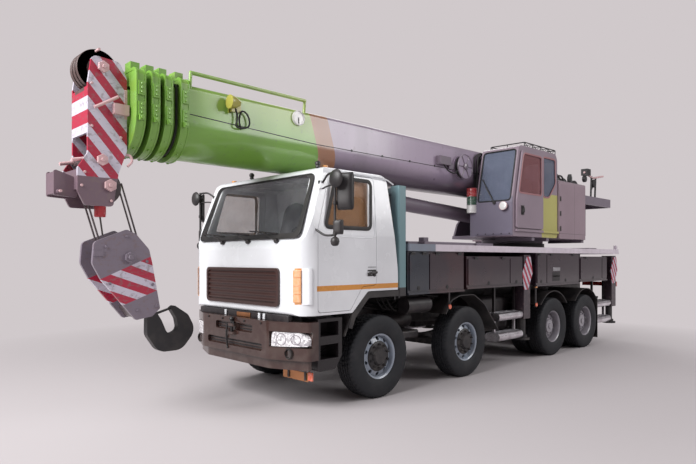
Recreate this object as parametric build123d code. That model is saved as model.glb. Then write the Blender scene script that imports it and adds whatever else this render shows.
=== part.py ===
"""Mobile crane on a four-axle truck chassis.

Frame: millimetres, +X forward, +Y to the crane's left, +Z up, ground at Z = 0, origin at the middle of the
stored crane's length.  Each node is one STEP file; nodes that move together share a body in the record.
"""
from build123d import *
from math import cos, hypot, radians, sin, tan
import os

# ---------------------------------------------------------------- driving dimensions
WIDTH = 2500.0                 # over the cab, the deck and the outrigger columns
HALF = WIDTH / 2

TYRE_R = 540.0                 # 315/80 R22.5 tyre
TYRE_W = 315.0
TYRE_OUT = 1240.0              # outer side of every outer tyre
TWIN_PITCH = 350.0             # between the centres of a twin pair
KINGPIN_Y = 880.0
KINGPIN_R = 26.0
RUNNING = 0.5                  # radial clearance of shafts in their bores

# name, x of the axle, steered
AXLES = [
    ("axle_1", 2100.0, True),
    ("axle_2", 150.0, True),
    ("axle_3", -2700.0, False),
    ("axle_4", -4100.0, False),
]
DRIVEN = [axle for axle in AXLES if not axle[2]]

RAIL_Y = 430.0                 # outer face of the frame rails
RAIL_TOP = 1130.0
RAIL_LOW = 840.0
RAIL_FRONT = 3380.0
RAIL_REAR = -5760.0

DECK_TOP = 2020.0
DECK_LOW = 1920.0
DECK_FRONT = 1550.0
DECK_REAR = -5800.0

CAB_FRONT = 3430.0
CAB_REAR = 1750.0
CAB_LOW = 1145.0
CAB_ROOF = 2930.0
CAB_WALL = 45.0
BUMPER_FRONT = 3550.0

SLEW_X = -3300.0
RING_R = 650.0
RING_TOP = 2120.0
PLATFORM_LOW = 2200.0

BOOM_PIVOT = (-4250.0, 3450.0)     # x, z of the boom's foot pin
RAM_FOOT = (-2250.0, 2600.0)       # x, z of the luffing cylinder's foot pin
RAM_EYE = (1200.0, 2800.0)         # x, z of the pin under the boom
BOOM_PIN_R = 60.0
RAM_PIN_R = 50.0

BOOM_AXIS_Z = 3360.0           # centre of the boom's round underside
BOOM_WALL = 12.0
BOOM_STEP = 35.0               # each section is this much smaller all round than the one outside it
BOOM_BASE_W = 380.0            # half-width of the base section
BOOM_BASE_TOP = 3790.0
COLLAR_W = 420.0
COLLAR_TOP = 3840.0

HEAD_SHEAVE = (5215.0, 2580.0)     # x, z of the lower sheaves, from which the hook block hangs
ROPE_TURN = 205.0                  # radius at which the rope runs round every sheave
ROPE_R = 10.0
ROPE_Y = 50.0                      # the two rows of sheaves stand this far from the middle

# name, x of the jack, side (+1 left), x centre of its beam's tube
OUTRIGGERS = [
    ("front_left", -1710.0, 1),
    ("front_right", -1890.0, -1),
    ("rear_left", -5560.0, 1),
    ("rear_right", -5380.0, -1),
]
BEAM_W = 150.0
BEAM_LOW = 1370.0
BEAM_TOP = 1620.0
TUBE_GAP = 6.0
TUBE_WALL = 8.0
TUBE_END = 985.0
JACK_Y = 1110.0
JACK_ROD_R = 70.0


# ---------------------------------------------------------------- small makers
def corner(before, at, after, radius):
    """Start, middle and end of the arc that rounds a corner; the radius gives way where sides are short."""
    p = Vector(*before) - Vector(*at)
    q = Vector(*after) - Vector(*at)
    half = radians(p.get_angle(q)) / 2
    reach = min(radius / tan(half), 0.49 * p.length, 0.49 * q.length)
    fitted = reach * tan(half)
    towards = (p.normalized() + q.normalized()).normalized()
    middle = Vector(*at) + towards * (fitted / sin(half) - fitted)
    return Vector(*at) + p.normalized() * reach, middle, Vector(*at) + q.normalized() * reach


def outline(points, radii=0):
    """A closed flat face through the points; radii rounds its corners, one value or one for each point."""
    count = len(points)
    each = [radii] * count if isinstance(radii, (int, float)) else list(radii)
    ends = []
    edges = []
    for k in range(count):
        if each[k]:
            start, middle, end = corner(points[k - 1], points[k], points[(k + 1) % count], each[k])
            edges.append(ThreePointArc(start, middle, end))
        else:
            start = end = Vector(*points[k])
        ends.append((start, end))
    for k in range(count):
        edges.append(Line(ends[k][1], ends[(k + 1) % count][0]))
    return make_face(edges)


def carried(plane, face, length):
    """The face, drawn on the plane, carried along the plane's normal."""
    return extrude(plane * face, length, dir=plane.z_dir)


def along_x(points, x0, x1, radii=0):
    """The (y, z) outline carried from x0 to x1."""
    return carried(Plane.YZ.offset(x0), outline(points, radii), x1 - x0)


def along_y(points, y0, y1, radii=0):
    """The (x, z) outline carried from y0 to y1."""
    return carried(Plane.XZ.offset(-y1), outline(points, radii), y1 - y0)


def along_z(points, z0, z1, radii=0):
    """The (x, y) outline carried from z0 to z1."""
    return carried(Plane.XY.offset(z0), outline(points, radii), z1 - z0)


def block(x0, x1, y0, y1, z0, z1):
    """A plain box between two corners."""
    return Pos((x0 + x1) / 2, (y0 + y1) / 2, (z0 + z1) / 2) * Box(abs(x1 - x0), abs(y1 - y0), abs(z1 - z0))


def rod(start, end, radius):
    """A round bar between two points."""
    a = Vector(*start)
    b = Vector(*end)
    return extrude(Plane(origin=a, z_dir=b - a) * Circle(radius), (b - a).length)


def pipe(start, end, outer, inner):
    """A round tube between two points."""
    return rod(start, end, outer) - rod(start, end, inner)


def pin_y(x, z, radius, y0, y1):
    """A round bar across the crane, at (x, z) from y0 to y1."""
    return rod((x, y0, z), (x, y1, z), radius)


def turned(profile, x, z):
    """The (y, r) profile turned about the axle line at (x, z)."""
    face = Plane(origin=(x, 0, z), x_dir=(0, 1, 0), z_dir=(1, 0, 0)) * outline(profile)
    return revolve(face, Axis((x, 0, z), (0, 1, 0)))


def joined(pieces):
    """One node from many pieces: what touches is fused, what doesn't stays a solid of its own."""
    first, *rest = pieces
    return first + rest if rest else first


def mirrored(piece):
    """The same piece on the other side of the crane."""
    return mirror(piece, about=Plane.XZ)


def both_sides(pieces):
    """The pieces and their mirror images."""
    return joined(pieces + [mirrored(piece) for piece in pieces])


def inset(points, distance):
    """The corners of an outline whose sides have moved inwards, by one distance or by one for each side."""
    ends = points[1:] + points[:1]
    each = [distance] * len(points) if isinstance(distance, (int, float)) else distance
    turn = 1 if sum(p[0] * q[1] - q[0] * p[1] for p, q in zip(points, ends)) > 0 else -1
    sides = []
    for p, q, d in zip(points, ends, each):
        length = hypot(q[0] - p[0], q[1] - p[1])
        nx = -turn * (q[1] - p[1]) / length
        nz = turn * (q[0] - p[0]) / length
        sides.append((nx, nz, nx * p[0] + nz * p[1] + d))
    corners = []
    for (a, b, c), (d, e, f) in zip([sides[-1]] + sides[:-1], sides):
        det = a * e - b * d
        corners.append(((c * e - b * f) / det, (a * f - c * d) / det))
    return corners


nodes = {}


# ---------------------------------------------------------------- chassis
def chassis_frame():
    """Two channel rails, their cross members and the rear tow jaw."""
    channel = [(RAIL_Y, RAIL_LOW), (RAIL_Y, RAIL_TOP), (RAIL_Y - 80, RAIL_TOP), (RAIL_Y - 80, RAIL_TOP - 9),
               (RAIL_Y - 9, RAIL_TOP - 9), (RAIL_Y - 9, RAIL_LOW + 9), (RAIL_Y - 80, RAIL_LOW + 9),
               (RAIL_Y - 80, RAIL_LOW)]
    rail = along_x(channel, RAIL_REAR, RAIL_FRONT)
    pieces = [rail, mirrored(rail)]
    for x in (3300.0, 400.0, -700.0, -2000.0, -3400.0, -4900.0):
        pieces.append(block(x - 40, x + 40, -RAIL_Y + 9, RAIL_Y - 9, 900, 1080))
    jaw = block(RAIL_REAR - 60, RAIL_REAR + 60, -90, 90, 930, 1060)
    jaw -= block(RAIL_REAR - 70, RAIL_REAR - 15, -60, 60, 960, 1030)
    jaw -= rod((RAIL_REAR - 33, 0, 900), (RAIL_REAR - 33, 0, 1100), 17.5)
    pieces.append(jaw)
    pieces.append(block(RAIL_REAR - 10, RAIL_REAR + 20, -RAIL_Y, RAIL_Y, 900, 1080))
    return joined(pieces)


nodes["chassis_frame"] = chassis_frame()


def outrigger_tubes():
    """The four rectangular tubes across the frame in which the outrigger beams slide."""
    solid = []
    hollow = []
    reach = TUBE_GAP + TUBE_WALL
    for name, x, side in OUTRIGGERS:
        front, rear = x + BEAM_W / 2, x - BEAM_W / 2
        solid.append(block(rear - reach, front + reach, -TUBE_END, TUBE_END, BEAM_LOW - reach,
                           BEAM_TOP + reach))
        hollow.append(block(rear - TUBE_GAP, front + TUBE_GAP, -TUBE_END - 5, TUBE_END + 5,
                            BEAM_LOW - TUBE_GAP, BEAM_TOP + TUBE_GAP))
    return solid, hollow


def subframe():
    """Box girder on the rails, crossed by the outrigger tubes, with the fixed half of the slewing ring."""
    solid, hollow = outrigger_tubes()
    girder = block(DECK_REAR + 60, DECK_FRONT - 60, -380, 380, RAIL_TOP, DECK_LOW)
    girder -= block(DECK_REAR + 72, DECK_FRONT - 72, -368, 368, RAIL_TOP + 12, DECK_LOW - 12)
    seat = pipe((SLEW_X, 0, DECK_LOW), (SLEW_X, 0, RING_TOP), RING_R, RING_R - 110)
    body = joined([girder, seat] + solid)
    for cut in hollow:
        body -= cut
    return body


nodes["subframe"] = subframe()


def deck():
    """Flat deck with a rim all round and the hole for the slewing ring."""
    plate = along_z([(DECK_FRONT, -HALF), (DECK_FRONT, HALF), (DECK_REAR, HALF), (DECK_REAR, -HALF)],
                    DECK_LOW, DECK_TOP, 40)
    plate -= block(DECK_REAR + 40, DECK_FRONT - 40, -HALF + 40, HALF - 40, DECK_LOW, DECK_TOP - 25)
    ribs = [block(x - 25, x + 25, -HALF + 40, HALF - 40, DECK_LOW, DECK_TOP - 25)
            for x in (900, 180, -1400, -2050, -4500, -5150)]
    posts = [block(DECK_REAR + 10, DECK_REAR + 70, y - 30, y + 30, DECK_TOP, DECK_TOP + 90)
             for y in (-1180, 1180)]
    plate = joined([plate] + ribs + posts)
    girder = block(DECK_REAR + 60, DECK_FRONT - 60, -380, 380, DECK_LOW - 10, DECK_LOW + 1)
    ring = Pos(SLEW_X, 0, DECK_TOP) * Cylinder(RING_R + 6, 400)
    return plate - girder - ring


nodes["deck"] = deck()

# x front, x rear, z low, z top of each side locker, x of the split between its doors
LOCKERS = [
    (1545.0, 216.0, 1340.0, DECK_LOW, 1080.0),
    (140.0, -1560.0, 1370.0, 1850.0, -1120.0),
    (-2040.0, -3800.0, 1340.0, DECK_LOW, -2420.0),
    (-3830.0, -5180.0, 1370.0, 1860.0, -4900.0),
]


def locker(x1, x0, low, top, split):
    """A side locker with two doors standing a little proud and a rail under its lower edge."""
    pieces = [block(x0, x1, 440, 1215, low, top)]
    for a, b in ((x0 + 30, split - 12), (split + 12, x1 - 30)):
        pieces.append(along_y([(a, low + 30), (b, low + 30), (b, top - 35), (a, top - 35)], 1215, 1232, 25))
    pieces.append(block(x0, x1, 1150, 1235, low - 25, low))
    return joined(pieces)


def side_lockers():
    """Lockers along both sides between the wheels and the deck, carried by the subframe."""
    boxes = [locker(*row) for row in LOCKERS]
    ties = [block(x - 60, x + 60, 380, 440, 1450, 1800) for x in (900, -400, -2900, -4500)]
    return both_sides(boxes + ties)


nodes["side_lockers"] = side_lockers()

# x front, x rear, side, heights of the two treads, height the hangers start from
STEP_SETS = [
    (-825.0, -1590.0, 1, (835.0, 500.0), 1370.0),
    (-825.0, -1590.0, -1, (835.0, 500.0), 1370.0),
    (-4716.0, -5435.0, 1, (840.0, 500.0), 1370.0),
    (-4716.0, -5255.0, -1, (840.0, 500.0), 1370.0),
]
TREAD = 70.0                   # half the height of a tread


def steps():
    """Round-edged treads hung under the lockers, and the cab's entry steps in front of the first wheel."""
    pieces = []
    for x1, x0, side, heights, top in STEP_SETS:
        inner, middle, outer = side * 930, side * 1060, side * 1210
        for z in heights:
            edge = [(inner, z - TREAD), (outer, z - TREAD), (outer, z + TREAD), (inner, z + TREAD)]
            pieces.append(along_x(edge, x0, x1, 62))
        for x in (x0 + 60, x1 - 60):
            pieces.append(block(x - 20, x + 20, middle - 20, middle + 20, heights[-1], top))
    entry = along_y([(2790, 1100), (3180, 1100), (3180, 480), (2900, 480), (2790, 640)],
                    930, 1220, [0, 0, 30, 60, 60])
    for z in (620.0, 890.0):
        entry -= block(2850, 3140, 1010, 1230, z, z + 170)
    bracket = block(2900, 2980, RAIL_Y, 930, 900, 1000)
    return joined(pieces + [entry, mirrored(entry), bracket, mirrored(bracket)])


nodes["steps"] = steps()


GUARD_WALL = 14.0
# inner side, x and z of the bracket's end, corners of the guard's outer line in side view, their radii
BENT_GUARDS = [
    (880.0, 2000.0, 1378.0, [(2765, 860), (2655, 1116), (2355, 1386), (1765, 1386)], [0, 60, 80, 0]),
    (906.0, 150.0, 1254.0, [(700, 1000), (560, 1200), (340, 1262), (-40, 1262), (-330, 1100), (-760, 640)],
     [0, 120, 150, 200, 250, 0]),
]
# inner side and x of the round guards over the bogie
ROUND_GUARDS = [(560.0, -2700.0), (560.0, -4100.0)]


def guard_bracket(x, y, z):
    """Flat bar from the rail's outer face up and out to a guard."""
    foot = block(x - 30, x + 30, RAIL_Y, RAIL_Y + 20, RAIL_TOP - 80, z)
    return foot + block(x - 30, x + 30, RAIL_Y, y + 30, z - 32, z)


def mudguards():
    """Guards over the first two axles and over the bogie, and the flap behind the last wheel."""
    pieces = []
    for y, x, z, points, radii in BENT_GUARDS:
        guard = along_y(points, y, HALF - 12, radii)
        guard -= along_y(inset(points, [GUARD_WALL] * (len(points) - 1) + [-30]), y - 5, HALF, radii)
        pieces += [guard, guard_bracket(x, y, z)]
    for y, x in ROUND_GUARDS:
        ring = pin_y(x, TYRE_R, 676, y, HALF - 12) - pin_y(x, TYRE_R, 676 - GUARD_WALL, y - 5, HALF)
        fan = [(x - 900, 960), (x - 420, 960), (x, TYRE_R), (x + 480, 950), (x + 900, 1440), (x - 900, 1440)]
        keep = along_y(fan, y - 10, HALF + 10)
        pieces += [ring & keep, guard_bracket(x, y, TYRE_R + 668)]
    pieces.append(block(-4674, -4662, 600, 1230, 150, 985))
    pieces.append(block(-4700, -4662, RAIL_Y, 1230, 985, 1020))
    return both_sides(pieces)


nodes["mudguards"] = mudguards()


def headboard():
    """Frame behind the cab: two box columns, sheet between them, and the post that carries the boom."""
    column = along_z([(1600, 1080), (1750, 1080), (1750, 1240), (1600, 1240)], 1310, 2800, 20)
    pieces = [column, mirrored(column)]
    pieces.append(block(1640, 1670, -1080, 1080, 1250, 2700))
    for z in (1330.0, 2100.0, 2700.0):
        pieces.append(block(1610, 1730, -1080, 1080, z, z + 80))
    pieces.append(block(1640, 1720, -RAIL_Y, -RAIL_Y + 80, RAIL_TOP, 1340))
    pieces.append(block(1640, 1720, RAIL_Y - 80, RAIL_Y, RAIL_TOP, 1340))
    rest = [(-130, 2780), (-300, 2910), (-300, 2958), (300, 2958), (300, 2910), (130, 2780)]
    pieces.append(along_x(rest, 1550, 1650, [0, 20, 10, 10, 20, 0]))
    pieces.append(block(1560, 1641, -60, 60, DECK_TOP, 2790))
    pieces.append(block(1560, 1641, -160, 160, DECK_TOP, DECK_TOP + 30))
    return joined(pieces)


nodes["headboard"] = headboard()

# ---------------------------------------------------------------- cab
# side outline of the cab, x and z, with the radius of each corner
CAB_SIDE = [
    ((CAB_FRONT, CAB_LOW), 40.0),
    ((CAB_FRONT, 1960.0), 120.0),
    ((3350.0, 2070.0), 0.0),
    ((3050.0, CAB_ROOF), 140.0),
    ((1970.0, CAB_ROOF), 90.0),
    ((CAB_REAR, 1400.0), 30.0),
    ((2365.0, 1400.0), 70.0),
    ((2640.0, CAB_LOW), 40.0),
]
DOOR_FRONT = 3200.0
DOOR_REAR = 2210.0
DOOR_GAP = 6.0
FLOOR = 1515.0


def cab_solid(side_face, half, front_r, low, wall):
    """Side outline, plan outline and front outline, each carried through the others."""
    spare = 1.0
    side_body = carried(Plane.XZ.offset(-1400), side_face, 2800)
    x0 = CAB_REAR + wall - spare
    x1 = CAB_FRONT - wall + spare
    plan = along_z([(x1, -half - spare), (x1, half + spare), (x0, half + spare), (x0, -half - spare)],
                   low - 20, CAB_ROOF + 20, [front_r, front_r, 60, 60])
    top = CAB_ROOF - wall + spare
    upright = [(-half, low - 30), (-half, 2100), (-half + 60, top), (half - 60, top), (half, 2100),
               (half, low - 30)]
    front = along_x(upright, CAB_REAR - 20, CAB_FRONT + 20, [0, 300, 130, 130, 300, 0])
    return side_body & plan & front


cab_points = [row[0] for row in CAB_SIDE]
cab_outer = cab_solid(outline(cab_points, [row[1] for row in CAB_SIDE]), HALF, 230, CAB_LOW, 0)
cab_inner = cab_solid(outline(inset(cab_points, CAB_WALL)), HALF - CAB_WALL, 190, CAB_LOW + 1, CAB_WALL)
shell = cab_outer - cab_inner

DOOR_SIDE = [(DOOR_FRONT, 1180.0), (DOOR_FRONT, 2150.0), (2975.0, 2850.0), (DOOR_REAR, 2850.0),
             (DOOR_REAR, 1475.0), (2460.0, 1465.0), (2675.0, 1180.0)]
DOOR_RADII = [40, 200, 60, 60, 60, 60, 40]
WINDOW_SIDE = [(3086.0, 2190.0), (2925.0, 2790.0), (2316.0, 2790.0), (2316.0, 2190.0)]


def door_prism(gap):
    """The left door's outline, grown by the gap, through the cab's left wall."""
    prism = along_y(inset(DOOR_SIDE, -gap), 1100, 1400, DOOR_RADII)
    return prism - block(DOOR_REAR - 50, DOOR_FRONT + 50, 1090, HALF - CAB_WALL - gap, 1100, 2090)


screen_hole = along_x([(-1050, 2085), (1050, 2085), (970, 2835), (-970, 2835)], 2900, 3600, 60)
rear_window = along_x([(-500, 2150), (500, 2150), (500, 2620), (-500, 2620)], 1700, 2100, 50)


def cab_body():
    """The shell with its windscreen and rear window cut and the door openings left free."""
    body = shell - screen_hole - rear_window
    opening = door_prism(DOOR_GAP)
    return body - opening - mirrored(opening)


nodes["cab_body"] = cab_body()


def cab_door():
    """The left door, a piece of the shell's own wall with its window cut and a pull handle."""
    panel = shell & door_prism(0)
    panel -= along_y(WINDOW_SIDE, 1000, 1400, 50)
    handle = along_y([(2290, 1610), (2370, 1610), (2370, 1650), (2290, 1650)], HALF - 6, HALF + 12, 12)
    return panel + handle


door = cab_door()
nodes["cab_door_left"] = door
nodes["cab_door_right"] = mirrored(door)


def strip(p, q, depth, thickness, y0, y1):
    """A flat slab from y0 to y1, parallel to the line p-q in the (x, z) plane and set in by the depth."""
    length = hypot(q[0] - p[0], q[1] - p[1])
    nx = -(q[1] - p[1]) / length
    nz = (q[0] - p[0]) / length
    a = (p[0] + nx * depth, p[1] + nz * depth)
    b = (q[0] + nx * depth, q[1] + nz * depth)
    c = (b[0] + nx * thickness, b[1] + nz * thickness)
    d = (a[0] + nx * thickness, a[1] + nz * thickness)
    return along_y([a, b, c, d], y0, y1)


def cab_glass():
    """Windscreen and rear window, filling their openings."""
    slab = strip((3386.0, 1968.0), (3030.0, 2980.0), 14, 8, -1200, 1200)
    screen = slab & screen_hole & cab_outer
    pane = rear_window & strip((2020.0, 3300.0), (1700.0, 942.0), 14, 8, -1200, 1200)
    return joined([screen, pane])


nodes["cab_glass"] = cab_glass()


def door_glass():
    """The left door's pane."""
    return along_y(WINDOW_SIDE, 1185, 1192, 50)


pane = door_glass()
nodes["cab_door_glass_left"] = pane
nodes["cab_door_glass_right"] = mirrored(pane)


def seat(x, y, z):
    """A sprung seat with a high back, its front towards +X."""
    base = block(x - 180, x + 180, y - 170, y + 170, z, z + 260)
    cushion = along_y([(x - 260, z + 260), (x + 260, z + 260), (x + 260, z + 380), (x - 260, z + 360)],
                      y - 245, y + 245, 40)
    back = along_y([(x - 260, z + 340), (x - 130, z + 340), (x - 260, z + 1080), (x - 360, z + 1080)],
                   y - 235, y + 235, 40)
    return joined([base, cushion, back])


def cab_interior():
    """Two seats, the dashboard with its steering column and wheel."""
    front = [(3385, FLOOR), (3385, 1950), (3200, 2050), (2960, 1960), (2960, 1880), (3100, 1800),
             (3140, FLOOR)]
    dash = along_y(front, -1000, 1000, [10, 20, 40, 40, 20, 60, 20])
    floor = along_z([(1900, -1150), (1900, 1150), (3384, 1150), (3384, -1150)], FLOOR - 35, FLOOR,
                    [0, 0, 200, 200])
    wheel_centre = (2830.0, 620.0, 2080.0)
    tilt = Plane(origin=wheel_centre, z_dir=(-0.6, 0, 0.8))
    rim = tilt * (Cylinder(234, 24) - Cylinder(208, 24))
    spokes = tilt * Box(420, 40, 14) + tilt * Box(40, 420, 14)
    column = rod(wheel_centre, (3110.0, 620.0, 1707.0), 35)
    return joined([floor, dash, rim, spokes, column, seat(2350, 620, FLOOR), seat(2350, -620, FLOOR)])


nodes["cab_interior"] = cab_interior()


def grille():
    """Rounded frame with horizontal slats over a backing sheet, on the cab's front."""
    back = along_x([(-820, 1235), (820, 1235), (820, 1700), (-820, 1700)], CAB_FRONT, CAB_FRONT + 6, 60)
    ring = along_x([(-820, 1235), (820, 1235), (820, 1700), (-820, 1700)], CAB_FRONT, CAB_FRONT + 28, 60)
    ring -= along_x([(-775, 1275), (775, 1275), (775, 1665), (-775, 1665)], CAB_FRONT - 1, CAB_FRONT + 30,
                    40)
    slats = []
    for k in range(6):
        z = 1290 + k * 64
        slats.append(along_y([(CAB_FRONT + 4, z), (CAB_FRONT + 22, z + 4), (CAB_FRONT + 22, z + 20),
                              (CAB_FRONT + 4, z + 40)],
                             -790, 790))
    return joined([back, ring] + slats)


nodes["grille"] = grille()


HEADLAMP_LOW = 775.0
HEADLAMP_TOP = 950.0
FOG_Y = 1000.0
FOG_Z = 700.0
FOG_R = 48.0


def bumper():
    """Wrap-round bumper with lamp pockets, a lower lip and the tow jaw in the middle."""
    plan = [(BUMPER_FRONT, -760), (BUMPER_FRONT, 760), (3330, HALF), (3190, HALF), (3190, 1180),
            (3290, 1180),
            (3470, 740), (3470, -740), (3290, -1180), (3190, -1180), (3190, -HALF), (3330, -HALF)]
    wrap = along_z(plan, 620, 1070, [260, 260, 60, 5, 5, 40, 220, 220, 40, 5, 5, 60])
    under = [(3500, -700), (3500, 700), (3300, 1200), (3240, 1200), (3430, 680), (3430, -680), (3240, -1200),
             (3300, -1200)]
    body = wrap + along_z(under, 500, 640, [200, 200, 20, 20, 160, 160, 20, 20])
    for z0, z1, half in ((900, 1000, 420), (700, 790, 620)):
        body -= along_x([(-half, z0), (half, z0), (half, z1), (-half, z1)], 3505, 3600, 30)
    for side in (1, -1):
        body -= rod((3400, side * FOG_Y, FOG_Z), (3600, side * FOG_Y, FOG_Z), FOG_R + 4)
        y0, y1 = sorted((side * 756.0, side * 1300.0))
        body -= block(3285, 3600, y0, y1, HEADLAMP_LOW - 4, HEADLAMP_TOP + 4)
    arms = [block(RAIL_FRONT, 3480, side * 390 - 40, side * 390 + 40, 880, 1060) for side in (1, -1)]
    jaw = along_z([(3470, -90), (3600, -60), (3600, 60), (3470, 90)], 850, 990, [0, 20, 20, 0])
    jaw -= block(3540, 3610, -70, 70, 885, 955)
    jaw -= rod((3575, 0, 800), (3575, 0, 1000), 20)
    return joined([body, jaw] + arms)


nodes["bumper"] = bumper()


def lamps():
    """Headlamps, fog lamps, corner markers, roof markers, side markers and rear lamps."""
    face = [(3530, 760), (3470, 1000), (3340, 1236), (3290, 1236), (3290, 1180), (3450, 760)]
    head = along_z(face, HEADLAMP_LOW, HEADLAMP_TOP, [20, 80, 40, 4, 20, 8])
    head &= along_x([(760, HEADLAMP_LOW), (1236, HEADLAMP_LOW + 20), (1236, HEADLAMP_TOP - 60),
                     (1130, HEADLAMP_TOP),
                     (790, HEADLAMP_TOP)], 3200, 3600, [20, 20, 50, 60, 30])
    fog = rod((3400, FOG_Y, FOG_Z), (3440, FOG_Y, FOG_Z), FOG_R)
    corner = along_z([(3431, 1090), (3330, 1245), (3290, 1253), (3240, 1150), (3340, 1050)], 1280, 1700,
                     [10, 90, 10, 0, 0])
    roof = rod((2880, 1010, CAB_ROOF), (2880, 1010, CAB_ROOF + 35), 35)
    side = block(-2050, -2010, 1200, 1240, 1290, 1315)
    rear = block(-5800, -5770, 880, 1200, 1190, 1300)
    bar = block(-5770, -5740, 430, 1200, 1200, 1290)
    return both_sides([head, fog, corner - cab_outer, roof, rear, bar, side])


nodes["lamps"] = lamps()


def mirrors():
    """Tall housings turned a little inwards on tube arms outside the front pillars, a small one below each."""
    housing = along_z([(3112, 1478), (3026, 1668), (3060, 1692), (3165, 1535), (3186, 1490)], 2370, 2800,
                      [12, 25, 25, 60, 12])
    small = along_z([(3140, 1450), (3130, 1560), (3185, 1560), (3195, 1450)], 2010, 2140, 15)
    arm_top = rod((3085, 1180, 2700), (3165, 1500, 2730), 12) - cab_outer
    arm_low = rod((3270, 1205, 2170), (3165, 1500, 2170), 12) - cab_outer
    mast = rod((3165, 1500, 2100), (3165, 1500, 2760), 15)
    return both_sides([housing, small, arm_top, arm_low, mast])


nodes["mirrors"] = mirrors()


# ---------------------------------------------------------------- running gear
def driveline():
    """The engine as one plain block, its gearbox and the propeller shaft to the bogie."""
    engine = along_x([(-330, 690), (330, 690), (330, 1120), (-330, 1120)], 1650, 2950, 40)
    gearbox = rod((1650, 0, 900), (900, 0, 860), 190)
    shaft = rod((900, 0, 860), (-2460, 0, 640), 55)
    link = rod((-2940, 0, 560), (-3860, 0, 560), 50)
    return joined([engine, gearbox, shaft, link])


nodes["driveline"] = driveline()


def front_beam(x):
    """Forged beam between the two kingpins, dropped in the middle."""
    beam = along_x([(-KINGPIN_Y, 490), (-640, 480), (-560, 430), (560, 430), (640, 480), (KINGPIN_Y, 490),
                    (KINGPIN_Y, 590), (640, 580), (560, 540), (-560, 540), (-640, 580), (-KINGPIN_Y, 590)],
                   x - 40, x + 40, [5, 60, 60, 60, 60, 5, 5, 60, 60, 60, 60, 5])
    pieces = [beam]
    for side in (1, -1):
        pieces.append(rod((x, side * KINGPIN_Y, 488), (x, side * KINGPIN_Y, 592), 55))
    beam = joined(pieces)
    for side in (1, -1):
        beam -= rod((x, side * KINGPIN_Y, 400), (x, side * KINGPIN_Y, 700), KINGPIN_R + RUNNING)
    return beam


def rear_axle(x):
    """Drive axle: round differential case, tapered arms and a spindle at each end."""
    profile = [(-1120, 0), (-1120, 60), (-735, 60), (-735, 85), (-280, 85), (-150, 210),
               (150, 210), (280, 85), (735, 85), (735, 60), (1120, 60), (1120, 0)]
    return turned(profile, x, TYRE_R)


def leaf_spring(x, half, low, rise):
    """A pack of leaves bowed between its two rail brackets, drawn in side view as two arcs."""
    def arc(depth, reach, lift):
        return ThreePointArc((x - reach, low + lift + depth), (x, low + depth),
                             (x + reach, low + lift + depth))
    lower = arc(0, half * 0.62, rise * 0.38)
    upper = arc(85, half, rise)
    ends = [Line(lower @ 0, upper @ 0), Line(lower @ 1, upper @ 1)]
    face = make_face([lower, upper] + ends)
    return carried(Plane.XZ.offset(-470), face, 80)


def axles():
    """Two steered beams and two drive axles with their springs and brackets."""
    pieces = []
    for name, x, steered in AXLES:
        if steered:
            pieces.append(front_beam(x))
            spring = leaf_spring(x, 720, 530, 190)
            hangers = [block(x + s * 690 - 35, x + s * 690 + 35, 395, RAIL_Y + 40, 740, RAIL_LOW)
                       for s in (1, -1)]
            pieces += [spring, mirrored(spring)]
            for hanger in hangers:
                pieces += [hanger, mirrored(hanger)]
        else:
            pieces.append(rear_axle(x))
    centre = (DRIVEN[0][1] + DRIVEN[1][1]) / 2
    bow = along_y([(centre - 730, 600), (centre - 700, 680), (centre, 800), (centre + 700, 680),
                   (centre + 730, 600),
                   (centre + 500, 660), (centre, 700), (centre - 500, 660)], 436, 516,
                   [5, 30, 200, 30, 5, 60, 200, 60])
    trunnion = block(centre - 110, centre + 110, RAIL_Y, 530, 690, 1000)
    cross = rod((centre, -480, 700), (centre, 480, 700), 60)
    pieces += [bow, mirrored(bow), trunnion, mirrored(trunnion), cross]
    return joined(pieces)


nodes["axles"] = axles()


def tanks():
    """Fuel and oil tanks behind the second axle, air tanks and a battery box between the front axles."""
    fuel = along_x([(RAIL_Y, 560), (900, 560), (900, 1150), (RAIL_Y, 1150)], -1560, -640, [5, 80, 80, 5])
    air = [rod((1400, y, z), (880, y, z), 118) for y, z in ((620.0, 900.0), (1010.0, 1150.0))]
    box = along_x([(RAIL_Y, 640), (880, 640), (880, 760), (RAIL_Y, 760)], 900, 1360, [5, 30, 30, 5])
    plates = [block(x - 20, x + 20, RAIL_Y, 1010, 1020, 1060) for x in (1300.0, 980.0)]
    straps = [block(x - 20, x + 20, RAIL_Y, 520, 740, 1040) for x in (1300.0, 980.0)]
    return both_sides([fuel, box] + air + plates + straps)


nodes["tanks"] = tanks()

# tyre section: distance from its own middle plane, radius
TYRE_PROFILE = [(-118, 288), (-157.5, 390), (-146, 505), (-112, TYRE_R),
                (112, TYRE_R), (146, 505), (157.5, 390), (118, 288)]


def tyre(x, y):
    """One tyre with its middle plane at y."""
    return turned([(y + w, r) for w, r in TYRE_PROFILE], x, TYRE_R)


def hand_holes(x, y0, y1, pitch_r, radius, count):
    """Round holes through a wheel disc."""
    holes = []
    for k in range(count):
        angle = radians(360 / count * k)
        holes.append(pin_y(x + pitch_r * cos(angle), TYRE_R + pitch_r * sin(angle), radius, y0, y1))
    return holes


def front_wheel(x):
    """Single wheel on the left: tyre, rim with a bulging disc, and the hub bored for its spindle."""
    y = TYRE_OUT - TYRE_W / 2
    rim = turned([(y - 118, 276), (y - 118, 288), (y + 118, 288), (y + 118, 276), (y + 64, 276),
                  (y + 64, 216),
                  (y + 112, 160), (y + 112, 100), (y + 150, 100), (y + 150, 0), (y + 132, 0), (y + 132, 45),
                  (y - 30, 45), (y - 30, 110), (y + 98, 110), (y + 98, 155), (y + 50, 211), (y + 50, 276)],
                  x, TYRE_R)
    for hole in hand_holes(x, y + 40, y + 80, 244, 20, 8):
        rim -= hole
    return joined([tyre(x, y), rim])


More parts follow.
